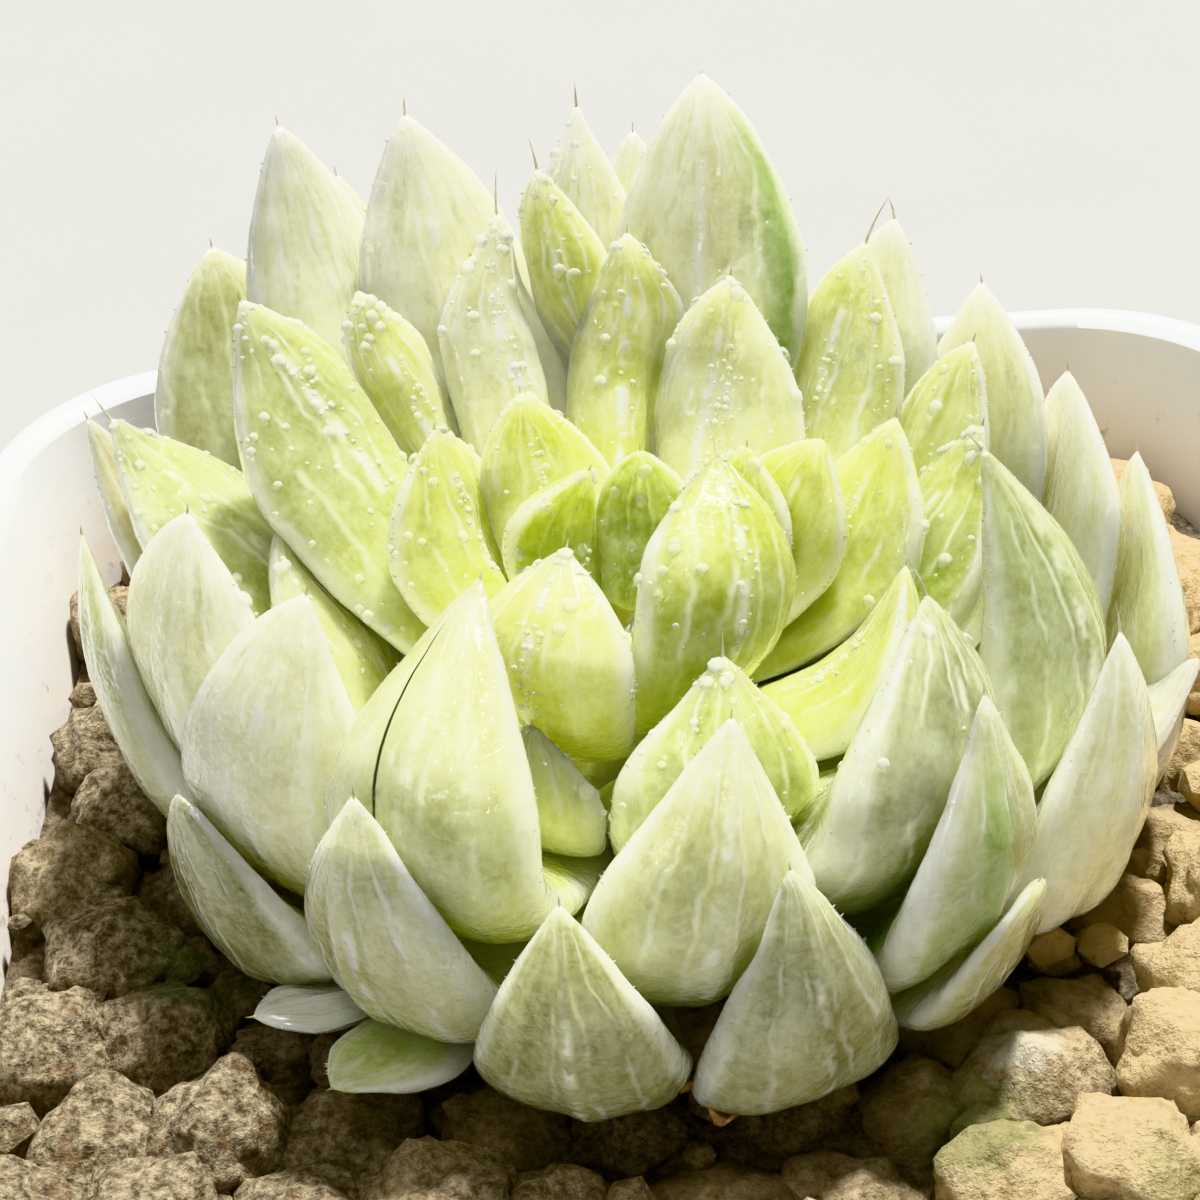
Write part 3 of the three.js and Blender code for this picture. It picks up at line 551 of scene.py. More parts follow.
# %% Leaf material
def leaf_material(name, vein_and_glint_strength, clear, scar=False):
    n = Nodes(name)
    place = n.place()
    tint = n.attribute("tint", "Color")
    t, u, inner = n.attribute("along"), n.attribute("across"), n.attribute("inner")
    own_place = n.out("CombineXYZ", {0: n.math("MULTIPLY", u, 1.5), 1: n.math("MULTIPLY", t, 3.0),
                                     2: n.math("ADD", inner, n.attribute("leaf_seed"))})
    cloud = n.math("ADD", n.math("MULTIPLY", n.noise(own_place, 1.5, 5, 0.62), 0.6),
                   n.math("MULTIPLY", n.noise(place, 420, 4, 0.65), 0.4))
    fine = n.noise(place, 2600, 2, 0.6)
    wander = n.math("MULTIPLY", n.math("SUBTRACT", n.noise(place, 240, 3, 0.6), 0.5), 0.55)
    lane = n.math("PINGPONG", n.math("MULTIPLY", n.math("ADD", u, wander), 2.6), 0.5)
    vein_and_rib_glint = n.ramp(lane, 0.36, 0.5)
    vein_and_rib_glint = n.math("MULTIPLY", vein_and_rib_glint, n.ramp(t, 0.2, 0.6))
    vein_and_rib_glint = n.math("MULTIPLY", vein_and_rib_glint, n.ramp(n.noise(place, 520, 2), 0.4, 0.62, 0.0, 1.0))
    # Painted highlight: a broken pale streak down the midrib stands in for the glints of the wet skin, and joins the
    # vein paint below.
    rib_glint = n.math("ABSOLUTE", n.math("ADD", u, n.math("MULTIPLY", wander, 0.18)))
    rib_glint = n.math("MULTIPLY", n.ramp(rib_glint, 0.1, 0.02), n.ramp(n.noise(place, 900, 2), 0.42, 0.6))
    rib_glint = n.math("MULTIPLY", rib_glint, n.math("MULTIPLY", n.ramp(t, 0.3, 0.45), n.ramp(t, 0.95, 0.85)))
    vein_and_rib_glint = n.math("MAXIMUM", vein_and_rib_glint, n.math("MULTIPLY", rib_glint, 1.3))
    milk = n.ramp(cloud, 0.42, 0.66)
    pale = n.mix(0.42, tint, linear("fbfde2"))
    deep = n.mix(1.0, tint, linear("e8e6c6"), "MULTIPLY")
    colour = n.mix(n.math("MULTIPLY", milk, 0.8), deep, pale)
    clear_spots = n.math("MULTIPLY", n.ramp(n.noise(own_place, 2.4, 3, 0.6), 0.54, 0.66), n.ramp(t, 0.4, 0.85))
    colour = n.mix(n.math("MULTIPLY", clear_spots, 0.5), colour, linear("b3b58e"))
    colour = n.mix(n.ramp(fine, 0.38, 0.66, 0.0, 0.35), colour, pale)
    colour = n.mix(n.math("MULTIPLY", vein_and_rib_glint, vein_and_glint_strength), colour, linear("fdfef2"))
    # The pale margin is partly the leaf's own clear edge and partly painted rim light, the bright line of a leaf edge
    # lit from behind.
    pale_margin_and_rim_light = n.ramp(n.math("ABSOLUTE", u), 0.84, 0.98)
    colour = n.mix(n.math("MULTIPLY", pale_margin_and_rim_light, 0.5), colour, linear("fdfef2"))
    if scar:
        path = n.math("ADD", n.math("MULTIPLY", t, -0.55), n.math("MULTIPLY", wander, 0.12))
        line = n.math("ABSOLUTE", n.math("SUBTRACT", n.math("ADD", u, path), SCAR_PLACE))
        line = n.math("SUBTRACT", 1.0, n.ramp(line, 0.01, 0.024))
        line = n.math("MULTIPLY", line, n.ramp(t, SCAR_FROM - 0.02, SCAR_FROM + 0.02))
        line = n.math("MULTIPLY", line, n.ramp(t, SCAR_TO, SCAR_TO + 0.03, 1.0, 0.0))
        line = n.math("MULTIPLY", line, n.ramp(inner, -0.05, 0.05, 1.0, 0.0))
        colour = n.mix(line, colour, linear("3d4a1c"))
    n.join("Base Color", colour)
    n.join("Roughness", n.ramp(cloud, 0.3, 0.7, 0.12, 0.3))
    window = n.math("MULTIPLY", n.ramp(t, 0.35, 0.95), n.ramp(cloud, 0.36, 0.62, 1.0, 0.35))
    n.join("Transmission Weight", n.math("MULTIPLY", window, clear))
    bump = n.math("ADD", n.math("MULTIPLY", n.noise(place, 550, 2), 0.7), n.math("MULTIPLY", vein_and_rib_glint, 0.2))
    bump = n.math("ADD", bump, n.math("MULTIPLY", fine, 0.12))
    n.join("Normal", n.out("Bump", {"Strength": 0.5, "Distance": 0.0005, "Height": bump}))
    dew = n.math("ADD", n.noise(place, 1300, 3, 0.7), n.math("MULTIPLY", vein_and_rib_glint, 0.2))
    n.join("Coat Normal", n.out("Bump", {"Strength": 0.55, "Distance": 0.0005, "Height": dew}))
    n.set(Subsurface_Weight=1.0, Subsurface_Scale=0.0045, Subsurface_Radius=(1.0, 1.0, 0.85),
          Coat_Weight=1.0, Coat_Roughness=0.05, IOR=1.38)
    return n.material


SCAR_PLACE, SCAR_FROM, SCAR_TO = -0.07, 0.46, 0.92
MATERIAL_OF_KIND = {
    "low_leaf": leaf_material("pale_leaf", 0.5, 0.2), "old_leaf": leaf_material("old_leaf", 0.3, 0.1),
    "outer_leaf": leaf_material("outer_leaf", 0.65, 0.25),
    "middle_leaf": leaf_material("middle_leaf", 0.75, 0.25),
    "inner_leaf": leaf_material("inner_leaf", 0.7, 0.2), "heart_leaf": leaf_material("heart_leaf", 0.3, 0.2),
}
for name, piece in skins.items():
    piece.data.materials.append(MATERIAL_OF_KIND[name.rsplit("_", 1)[0]])
skins["middle_leaf_10"].data.materials[0] = leaf_material("scarred_leaf", 0.35, 0.15, scar=True)

# %% [markdown]
# Every leaf ends in a fine bristle and has minute clear teeth along its margins. A bristle is a
# small ring of points, extruded step by step, and each step bends it a little and makes it thinner.


# %% Bristles and teeth
def add_bristle(bm, start, way, length, radius, bend, steps=6):
    """A tapered hair from start along way, in metres, drawn towards bend as it grows."""
    way = Vector(way).normalized()
    turn = way.to_track_quat("Z", "Y").to_matrix().to_4x4()
    ring = bmesh.ops.create_circle(bm, cap_ends=True, segments=5, radius=radius,
                                   matrix=Matrix.Translation(start) @ turn)["verts"]
    face, middle, size = ring[0].link_faces[0], Vector(start), 1.0
    for step in range(1, steps + 1):
        face = bmesh.ops.extrude_discrete_faces(bm, faces=[face])["faces"][0]
        way = (way + Vector(bend) / steps).normalized()
        move = way * (length / steps)
        middle = middle + move
        bmesh.ops.translate(bm, verts=face.verts, vec=move)
        shrink = max((1 - step / steps) ** 0.8, 0.1) / size
        bmesh.ops.scale(bm, verts=face.verts, vec=(shrink,) * 3, space=Matrix.Translation(-middle))
        size *= shrink


def gather(total, part):
    """Adds one small bmesh to a larger one, because operators are quick only on small ones."""
    mesh = bpy.data.meshes.new("part")
    part.to_mesh(mesh)
    total.from_mesh(mesh)
    bpy.data.meshes.remove(mesh)
    part.free()


def clearance(points, leaf=None):
    """How far points, in millimetres round the plant's foot, are from the nearest other leaf."""
    others = [o for o in leaves.values() if o is not leaf and (leaf is None or leaf.near(o))]
    return np.min([o.distance(points) for o in others], axis=0)


TEETH_PER_SIDE = 15
# Longer bristles: leaf, length in millimetres, bend.
LONG_BRISTLES = {
    "middle_leaf_06": (2.0, (0.2, 0, 0.3)), "middle_leaf_05": (1.6, (-0.2, 0, 0.3)),
    "outer_leaf_05": (1.1, (0, 0, 0.2)), "middle_leaf_04": (2.4, (0.9, 0.3, 0.9)),
    "middle_leaf_01": (1.8, (-0.9, 0.2, 0.5)), "outer_leaf_08": (1.6, (-0.4, 0, 1.0)),
    "inner_leaf_11": (1.6, (-0.3, 0.3, 0.4)), "inner_leaf_10": (1.0, (0.1, 0, 0.3)),
    "outer_leaf_01": (1.4, (-0.4, 0.2, 0.8)), "outer_leaf_03": (1.2, (-0.9, 0, 0.7)),
    "outer_leaf_06": (0.9, (0.2, 0, 0.3)), "outer_leaf_02": (1.0, (-0.8, 0.3, 0.3)),
}
hairs = bmesh.new()
for name, leaf in leaves.items():
    co = vectors(skins[name].data, "vertices", "co")
    tip = co[floats(skins[name].data, "along").argmax()]
    length, bend = LONG_BRISTLES.get(name, (0.55, (0, 0, 0.3)))
    room = cad_box[1][2] - tip[2] - 0.00005
    way = leaf.at([1.0])["along"][0]
    if way[2] * length * MM > room:
        way, bend = np.array([way[0], way[1], max(room, 0) / (length * MM) - 0.1]), (0, 0, 0)
    tuft = bmesh.new()
    add_bristle(tuft, Vector(tip) - Vector(unit(way)) * 0.0002, way, length * MM, 0.00008, bend)
    for v in tuft.verts:
        v.co.z = min(v.co.z, cad_box[1][2] - 0.00003)
    gather(hairs, tuft)
bristles = from_bmesh("tip_bristles", hairs)

teeth = bmesh.new()
dice = np.random.default_rng(5)
tooth_count = 0
for name, leaf in leaves.items():
    mesh = skins[name].data
    co, t, u = vectors(mesh, "vertices", "co"), floats(mesh, "along"), floats(mesh, "across")
    row = bmesh.new()
    for sign in (-1, 1):
        edge = np.nonzero((u * sign > 0.97) & (t > 0.35) & (t < 0.97))[0]
        if len(edge) < 3:
            continue
        edge = edge[np.argsort(t[edge])]
        spots = dice.uniform(0, len(edge) - 1.01, TEETH_PER_SIDE)
        low, share = spots.astype(int), spots % 1
        foot = co[edge[low]] * (1 - share)[:, None] + co[edge[low + 1]] * share[:, None]
        d = leaf.at(t[edge[low]])
        way = unit(d["side"] * sign + d["along"] * 0.7 + np.array([0, 0, 0.1]))
        ends = foot / MM - PLANT + way * 0.35
        free = (clearance(ends, leaf) > 0.1) & (ends[:, 2] > 0.6)
        for p, w in zip(foot[free], way[free]):
            size = dice.uniform(0.1, 0.2) * MM
            turn = Vector(w).to_track_quat("Z", "Y").to_matrix().to_4x4()
            bmesh.ops.create_cone(row, segments=4, radius1=0.00005, radius2=0.00001, depth=size,
                                  matrix=Matrix.Translation(p + w * size * 0.35) @ turn)
            tooth_count += 1
    gather(teeth, row)
print("teeth", tooth_count)
margin_teeth = from_bmesh("margin_teeth", teeth)

hair_look = Nodes("clear_bristle")
strand = hair_look.noise(hair_look.place(), 1800, 1)
hair_look.join("Base Color", hair_look.mix(hair_look.ramp(strand, 0.4, 0.6), linear("f4f3e0"), linear("dcd8b0")))
hair_look.set(Roughness=0.3, IOR=1.25, Transmission_Weight=0.6)
for piece in (bristles, margin_teeth):
    piece.data.materials.append(hair_look.material)

# %% [markdown]
# Drops of water stand on the inner faces of the leaves on the left and in the middle. Each is a flattened ball with few
# faces, half sunk in the skin. The water is only partly clear: its near-white colour is a painted highlight standing in
# for the drops' glints.

# %% Water drops
# Drops strewn over a leaf: leaf, how many.
WET_LEAVES = {
    "middle_leaf_08": 60, "middle_leaf_07": 30, "middle_leaf_06": 40, "middle_leaf_05": 24,
    "inner_leaf_05": 24, "inner_leaf_04": 26, "inner_leaf_07": 30, "inner_leaf_06": 20,
    "heart_leaf_03": 20, "inner_leaf_08": 22, "inner_leaf_11": 24, "inner_leaf_10": 34,
    "inner_leaf_09": 24, "middle_leaf_09": 20, "middle_leaf_02": 24, "middle_leaf_03": 12,
    "outer_leaf_08": 30, "outer_leaf_05": 10, "inner_leaf_02": 14, "middle_leaf_04": 14,
    "heart_leaf_02": 10, "outer_leaf_09": 10, "heart_leaf_01": 10, "middle_leaf_01": 8,
}
# Fine drops in a row along a rib: leaf, place across, from and to along the leaf, how many.
WET_RIBS = [
    ("middle_leaf_08", 0.0, 0.35, 0.85, 90), ("middle_leaf_07", 0.1, 0.4, 0.85, 30),
    ("outer_leaf_08", 0.8, 0.4, 0.95, 40), ("outer_leaf_08", -0.8, 0.4, 0.95, 40),
    ("inner_leaf_06", 0.0, 0.4, 0.85, 36), ("inner_leaf_04", 0.1, 0.35, 0.8, 44),
    ("middle_leaf_04", 0.0, 0.4, 0.8, 30), ("inner_leaf_11", 0.0, 0.35, 0.9, 44),
    ("inner_leaf_08", 0.0, 0.3, 0.9, 44), ("inner_leaf_01", 0.0, 0.3, 0.8, 36),
    ("middle_leaf_01", 0.2, 0.3, 0.85, 50), ("inner_leaf_09", 0.0, 0.3, 0.8, 30),
    ("middle_leaf_06", 0.0, 0.4, 0.85, 40), ("outer_leaf_07", 0.1, 0.35, 0.7, 24),
    ("inner_leaf_07", 0.0, 0.4, 0.85, 40), ("middle_leaf_09", 0.0, 0.4, 0.9, 30),
    ("inner_leaf_02", 0.0, 0.4, 0.85, 24), ("outer_leaf_04", -0.2, 0.3, 0.6, 24),
]


def sow_drops(faces, leaf, wanted, sizes, dice):
    """Flattened water balls on the given faces of a leaf, where no other leaf is in the way."""
    film = bmesh.new()
    middle, normal = (np.array([getattr(p, key)[:] for p in faces]) for key in ("center", "normal"))
    room = clearance(middle / MM - PLANT + normal * sizes[:, None] * 1.5, leaf) - 0.3 * sizes
    for k in np.nonzero(room > 0)[0][:wanted]:
        size = sizes[k] * MM
        turn = Vector(normal[k]).to_track_quat("Z", "Y").to_matrix().to_4x4()
        squash = Matrix.Diagonal((size, size * dice.uniform(0.85, 1.2), size * 0.5, 1))
        spot = Matrix.Translation(Vector(middle[k] + normal[k] * size * 0.1))
        bmesh.ops.create_uvsphere(film, u_segments=8, v_segments=5, radius=1, matrix=spot @ turn @ squash)
    return film


water = bmesh.new()
dice = np.random.default_rng(11)
for name, count in WET_LEAVES.items():
    mesh = skins[name].data
    t, inner = floats(mesh, "along"), floats(mesh, "inner")
    both_faces = name.startswith("inner_leaf") or name in ("outer_leaf_09", "middle_leaf_01")
    sure = [p for p in mesh.polygons if t[p.vertices[0]] > 0.3 and p.normal.z > 0.05
            and (inner[p.vertices[0]] > 0.2 or both_faces)]
    chosen = [sure[k] for k in dice.integers(0, len(sure), count * 3)]
    sizes = 0.1 + 0.26 * dice.random(len(chosen)) ** 2.2
    gather(water, sow_drops(chosen, leaves[name], count, sizes, dice))
for name, middle, start, end, count in WET_RIBS:
    mesh = skins[name].data
    first = np.array([p.vertices[0] for p in mesh.polygons])
    t, u = floats(mesh, "along")[first], floats(mesh, "across")[first]
    up = vectors(mesh, "polygons", "normal")[:, 2]
    chosen = []
    for _ in range(count):
        away = 4 * (t - dice.uniform(start, end)) ** 2 + (u - middle - dice.normal(0, 0.07)) ** 2
        chosen.append(mesh.polygons[int(np.where(up > 0, away, 9).argmin())])
    sizes = 0.06 + 0.12 * dice.random(count) ** 1.5
    gather(water, sow_drops(chosen, leaves[name], count, sizes, dice))
drops = from_bmesh("water_drops", water)
# Painted highlight: near-white, partly see-through water, so that each drop shows as a bright dot like a glint.
water_with_painted_glint = Nodes("water")
ripple = water_with_painted_glint.noise(water_with_painted_glint.place(), 1500, 1)
water_with_painted_glint.join("Base Color", water_with_painted_glint.mix(ripple, (0.96, 0.98, 0.93), (1.0, 1.0, 1.0)))
water_with_painted_glint.join("Roughness", water_with_painted_glint.ramp(ripple, 0.3, 0.7, 0.0, 0.04))
water_with_painted_glint.set(Transmission_Weight=0.6, IOR=1.33, Alpha=0.85)
drops.data.materials.append(water_with_painted_glint.material)
print("drops", len(drops.data.polygons) // 40)

# %% [markdown]
# The soil is a bed of porous pumice-like granules. The same seeded rule as in the solids sets the
# large ones, so each finer stone lies where its plain one lies. A stone is a ball of small
# triangles, pushed in and out by noise: large noise for its lumps, small noise for its pores.


# %% Place the granules
def seeded(state):
    while True:
        state = state * 16807 % 2147483647
        yield state / 2147483647


P = (1 + math.sqrt(5)) / 2
# The twelve corners of an icosahedron, in the order in which the solids push them in and out.
BALL_CORNERS = [Vector(c).normalized() for c in (
    (-1, P, 0), (-P, 0, 1), (0, 1, P), (1, P, 0), (0, 1, -P), (-P, 0, -1),
    (P, 0, 1), (0, -1, P), (-1, -P, 0), (0, -1, -P), (P, 0, -1), (1, -P, 0))]


def stone_corners(dice, radius):
    """Twelve corners of one rough stone round its middle."""
    corners = [c * radius * (0.86 + 0.3 * next(dice)) for c in BALL_CORNERS]
    turn = Matrix.Rotation(next(dice) * math.pi, 3, "X")
    turn = Matrix.Rotation(next(dice) * math.pi, 3, "Z") @ turn
    return [Matrix.Diagonal((1.08, 1, 0.85)) @ (turn @ c) for c in corners]


def free_depth(x, y, radius):
    """How deep below the plant's level a granule must lie here to stay clear of the leaves."""
    if math.hypot(x, y) < 8:
        return math.inf
    depths = np.arange(-1, 5, 0.3)
    spots = np.array([[x, y, -d] for d in depths])
    room = np.maximum(clearance(spots), depths + 0.3)
    good = np.nonzero(room > 1.1 * radius + 0.3)[0]
    return depths[good[0]] if len(good) else math.inf


EDGE = wall_half(BED_TOP) - WALL - 0.36
SPACING, SHIFT = 5.1, 1.3
dice = seeded(8)
stones = []
rows = math.ceil(EDGE / SPACING) + 1
for i in range(-rows, rows + 1):
    for j in range(-rows, rows + 1):
        x = (i + (0.5 if j % 2 else 0)) * SPACING + (next(dice) - 0.5) * SHIFT
        y = j * SPACING * 0.88 + (next(dice) - 0.5) * SHIFT
        radius = 2.9 + 0.6 * next(dice) ** 1.3
        lift = 0.1 + 0.35 * next(dice)
        form = stone_corners(dice, radius)
        corner = EDGE * CORNER_SHARE
        ax, ay = (max(0, abs(c) - (EDGE - corner)) for c in (x, y))
        inset = min(EDGE - abs(x), EDGE - abs(y), corner - math.hypot(ax, ay))
        if inset > 0.5:
            depth = free_depth(x - PLANT[0], y - PLANT[1], radius)
            z = min(BED_TOP + lift * radius, PLANT[2] - depth)
            if z > BED_TOP - 0.6 * radius:
                stones.append((x, y, z, radius, form))
print(len(stones), "large granules")


# %% Shape the granules
def inside_wall(x, y, z, gap=0.15):
    """The point drawn in to the pot's inner wall, which has rounded corners."""
    half = wall_half(z) - WALL - gap
    corner = half * CORNER_SHARE
    cx, cy = half - corner, half - corner
    ax, ay = abs(x) - cx, abs(y) - cy
    if ax > 0 and ay > 0:
        reach = math.hypot(ax, ay)
        if reach > corner:
            x, y = (math.copysign(c + a / reach * corner, v) for v, c, a in ((x, cx, ax), (y, cy, ay)))
    return max(-half, min(half, x)), max(-half, min(half, y))


def rough_stone(form, middle, cuts, rough, tone_and_shade):
    """A bmesh of one stone: the hull of its corners, cut finer, rounded and made rough."""
    bm = bmesh.new()
    for corner in form:
        bm.verts.new(corner)
    bmesh.ops.convex_hull(bm, input=bm.verts[:])
    if cuts:
        bmesh.ops.subdivide_edges(bm, edges=bm.edges[:], cuts=cuts, use_grid_fill=True)
        for _ in range(2):
            bmesh.ops.smooth_vert(bm, verts=bm.verts[:], factor=0.5, use_axis_x=True, use_axis_y=True,
                                  use_axis_z=True)
    layer = bm.verts.layers.float.new("tone_and_shade")
    seed = Vector(middle) * 7.3
    for v in bm.verts:
        p = v.co
        lump = 0.15 * noise.noise(p * 0.4 + seed) - 0.22 * abs(noise.noise(p * 0.75 + seed)) + 0.05
        lump += 0.07 * noise.noise(p * 1.7 + seed) - 0.07 * abs(noise.noise(p * 3.1 + seed))
        spot = p * (1.03 + rough * lump)
        x, y, z = spot.x + middle[0], spot.y + middle[1], spot.z + middle[2]
        if max(abs(x), abs(y)) > 20:
            x, y = inside_wall(x, y, z)
        v.co = Vector((x, y, z)) * MM
        v[layer] = tone_and_shade
    bmesh.ops.recalc_face_normals(bm, faces=bm.faces[:])
    return bm


def stone_tone_and_shade(x, y, dice):
    """0 is dark and grey, 1 light and sandy. A random share is the stone's own tone; the rise towards the right and
    back is painted shade, so stones at the left and front are darker.
    """
    return min(1, max(0, 0.45 + 0.019 * x + 0.01 * y + dice.uniform(-0.25, 0.25)))


# %% Make the granules and the grit between them
dice = random.Random(21)
granules = []
for name, wanted in (("granules_front", lambda y: y < -2), ("granules_back", lambda y: y >= -2)):
    bm = bmesh.new()
    for x, y, z, radius, form in stones:
        if wanted(y):
            gather(bm, rough_stone(form, (x, y, z), 7, 1.0, stone_tone_and_shade(x, y, dice)))
    granules.append(from_bmesh(name, bm))

spots = np.array([[dice.uniform(-EDGE, EDGE), dice.uniform(-EDGE, EDGE), dice.uniform(0.5, 1.25)]
                  for _ in range(700)])
near = np.min([np.hypot(spots[:, 0] - s[0], spots[:, 1] - s[1]) - s[3] for s in stones], axis=0)
heights = BED_TOP + spots[:, 2] * 0.3 + np.where(near > -0.9, 0.9, 0.4)
tops = np.c_[spots[:, :2], heights + spots[:, 2]] - PLANT
clear = (near > -1.4) & (np.hypot(tops[:, 0], tops[:, 1]) > 4)
clear &= (tops[:, 2] < 0.2) | (clearance(tops) > 0.3)
grit, seeds = bmesh.new(), seeded(77)
for (x, y, radius), z, wanted in zip(spots, heights, clear):
    if wanted and math.dist((x, y), inside_wall(x, y, BED_TOP, 0.15 + radius)) < 0.01:
        gather(grit, rough_stone(stone_corners(seeds, radius), (x, y, z), 0, 0.5, stone_tone_and_shade(x, y, dice)))
granules.append(from_bmesh("grit", grit, smooth=False))
print("granule faces", [len(p.data.polygons) for p in granules])

# %% [markdown]
# Under the granules lies the packed soil. Like the pot it is turned round a profile and then
# squared: every ring of the turned shape is pushed out along the straight sides, which leaves
# rounded corners. Noise makes its top uneven.


# %% Squared turning
def square_up(bm):
    for v in bm.verts:
        side = math.hypot(v.co.x, v.co.y)
        straight = side * (1 - CORNER_SHARE)
        v.co.x = math.copysign(straight, v.co.x) + CORNER_SHARE * v.co.x if abs(v.co.x) > 1e-9 else 0
        v.co.y = math.copysign(straight, v.co.y) + CORNER_SHARE * v.co.y if abs(v.co.y) > 1e-9 else 0


def turned(profile, steps, closed=False):
    """A bmesh from a profile of (radius, height) points in millimetres, turned round Z."""
    bm = bmesh.new()
    verts = [bm.verts.new((r * MM, 0, z * MM)) for r, z in profile]
    edges = [bm.edges.new(pair) for pair in zip(verts, verts[1:])]
    bmesh.ops.rotate(bm, verts=verts, cent=(0, 0, 0), matrix=Matrix.Rotation(math.pi / steps, 3, "Z"))
    bmesh.ops.spin(bm, geom=verts + edges, cent=(0, 0, 0), axis=(0, 0, 1), angle=2 * math.pi,
                   steps=steps, use_merge=True)
    bmesh.ops.remove_doubles(bm, verts=bm.verts, dist=1e-7)
    bmesh.ops.recalc_face_normals(bm, faces=bm.faces)
    return bm


FLOOR = FOOT_RECESS + WALL
fill_side = [(wall_half(z) - WALL - 0.36, z) for z in (FLOOR + 0.3, 20, 40, BED_TOP)]
fill_top = [(EDGE * (1 - k / 44), BED_TOP) for k in range(1, 45)]
bm = turned([(0, FLOOR + 0.3)] + fill_side + fill_top, 96)
square_up(bm)
for v in bm.verts:
    if v.co.z > (BED_TOP - 0.01) * MM:
        v.co.z += MM * (0.5 * noise.noise(v.co * 900) + 0.25 * noise.noise(v.co * 2100) - 0.1)
# The packed soil gets a dark tone: painted shade under and between the granules.
tone_and_shade = bm.verts.layers.float.new("tone_and_shade")
for v in bm.verts:
    v[tone_and_shade] = 0.15
bed = from_bmesh("packed_soil", bm)
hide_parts("soil")

# %% [markdown]
# Fired clay and pumice granules are matt and full of pores. Their colour wanders between sand and grey-brown, the pores
# are darker, and a strong fine bump makes them look rough. Each granule keeps a tone in its points. The tone has a
# random share of its own, so no two look the same, plus painted shade that makes the stones darker towards the left and
# front. Below the tops of the granules the colour falls to near black-brown, as painted shade in the gaps.


# %% Soil material
def soil_material():
    n = Nodes("granules")
    place = n.place()
    tone_and_shade = n.attribute("tone_and_shade")
    broad = n.noise(place, 300, 4, 0.6)
    grain = n.noise(place, 2200, 5, 0.75)
    crag = n.noise(place, 900, 4, 0.65)
    shade = n.math("ADD", n.math("MULTIPLY", tone_and_shade, 0.75), n.math("MULTIPLY", broad, 0.45))
    warm = n.mix(n.ramp(shade, 0.3, 0.95), linear("4e4230"), linear("e2c692"))
    colour = n.mix(n.ramp(grain, 0.4, 0.68, 0.0, 0.6), warm, linear("ead8b2"))
    colour = n.mix(n.ramp(grain, 0.42, 0.28, 0.0, 0.7), colour, linear("54402a"))
    colour = n.mix(n.ramp(crag, 0.44, 0.34, 0.0, 0.5), colour, linear("7a5c3c"))
    blots = n.noise(place, 1300, 3, 0.7)
    for spot, size, hexcode, strength in (
            ((0.0092, -0.0162, 0.055), 0.0036, "52622e", 0.6), ((0.0165, -0.0205, 0.056), 0.0028, "66703c", 0.4),
            ((-0.0195, -0.0065, 0.055), 0.0026, "4a5a30", 0.6), ((0.0115, -0.0125, 0.056), 0.0024, "d9d2bc", 0.8)):
        away = n.out("VectorMath", {0: place, 1: spot}, socket=1, operation="DISTANCE")
        away = n.math("ADD", away, n.math("MULTIPLY", n.math("SUBTRACT", blots, 0.5), 0.004))
        colour = n.mix(n.ramp(away, size, size * 0.6, 0.0, strength), colour, linear(hexcode))
    # Painted shade in the gaps: below the granules' tops the colour darkens to near black-brown, most on the packed
    # soil.
    place_z = n.out("SeparateXYZ", {0: place}, socket=2)
    colour = n.mix(n.ramp(place_z, 0.0545, 0.0515, 0.0, 0.85), colour, linear("2e241b"))
    n.join("Base Color", colour)
    n.join("Roughness", n.ramp(grain, 0.3, 0.7, 0.85, 1.0))
    height = n.math("ADD", n.math("MULTIPLY", grain, 0.6), n.math("MULTIPLY", crag, 0.9))
    n.join("Normal", n.out("Bump", {"Strength": 1.0, "Distance": 0.0006, "Height": height}))
    return n.material


granule_look = soil_material()
for piece in granules + [bed]:
    piece.data.materials.append(granule_look)

# %% [markdown]
# The pot is one turned and squared wall. The profile runs from the hollow under the floor, down to
# the foot ring, up the outside, over the lip and down the inside. A bevel modifier rounds the edges,
# as a mould does, and the drain holes are cut with a boolean before that.

# %% Pot
profile = [
    (0, FOOT_RECESS), (BASE_HALF - 4.5, FOOT_RECESS), (BASE_HALF - 4, 0), (BASE_HALF, 0),
    (wall_half(POT_HEIGHT - LIP_HEIGHT), POT_HEIGHT - LIP_HEIGHT),
    (POT_HALF - 0.4, POT_HEIGHT - LIP_HEIGHT + 0.3), (POT_HALF, POT_HEIGHT - 1.4),
    (POT_HALF - 0.12, POT_HEIGHT - 0.7), (POT_HALF - 0.5, POT_HEIGHT - 0.15), (POT_HALF - 0.95, POT_HEIGHT),
    (POT_HALF - LIP_WIDTH + 0.55, POT_HEIGHT - 0.1), (POT_HALF - LIP_WIDTH + 0.12, POT_HEIGHT - 0.5),
    (POT_HALF - LIP_WIDTH - 0.05, POT_HEIGHT - 1.2),
    (wall_half(POT_HEIGHT - LIP_HEIGHT) - WALL, POT_HEIGHT - LIP_HEIGHT),
    (wall_half(FLOOR) - WALL, FLOOR), (0, FLOOR),
]
bm = turned(profile, 128)
square_up(bm)
pot = from_bmesh("pot_shell", bm)
holes = bmesh.new()
for x, y in [(0, 0)] + [(sx * 11, sy * 11) for sx in (-1, 1) for sy in (-1, 1)]:
    bmesh.ops.create_cone(holes, cap_ends=True, segments=40, radius1=3 * MM, radius2=3 * MM, depth=12 * MM,
                          matrix=Matrix.Translation((x * MM, y * MM, FLOOR / 2 * MM)))
cutter_mesh = bpy.data.meshes.new("drain_holes")
holes.to_mesh(cutter_mesh)
holes.free()
cutter = bpy.data.objects.new("drain_holes", cutter_mesh)
bpy.context.scene.collection.objects.link(cutter)
cut = pot.modifiers.new("drain", "BOOLEAN")
cut.object, cut.operation, cut.solver = cutter, "DIFFERENCE", "EXACT"
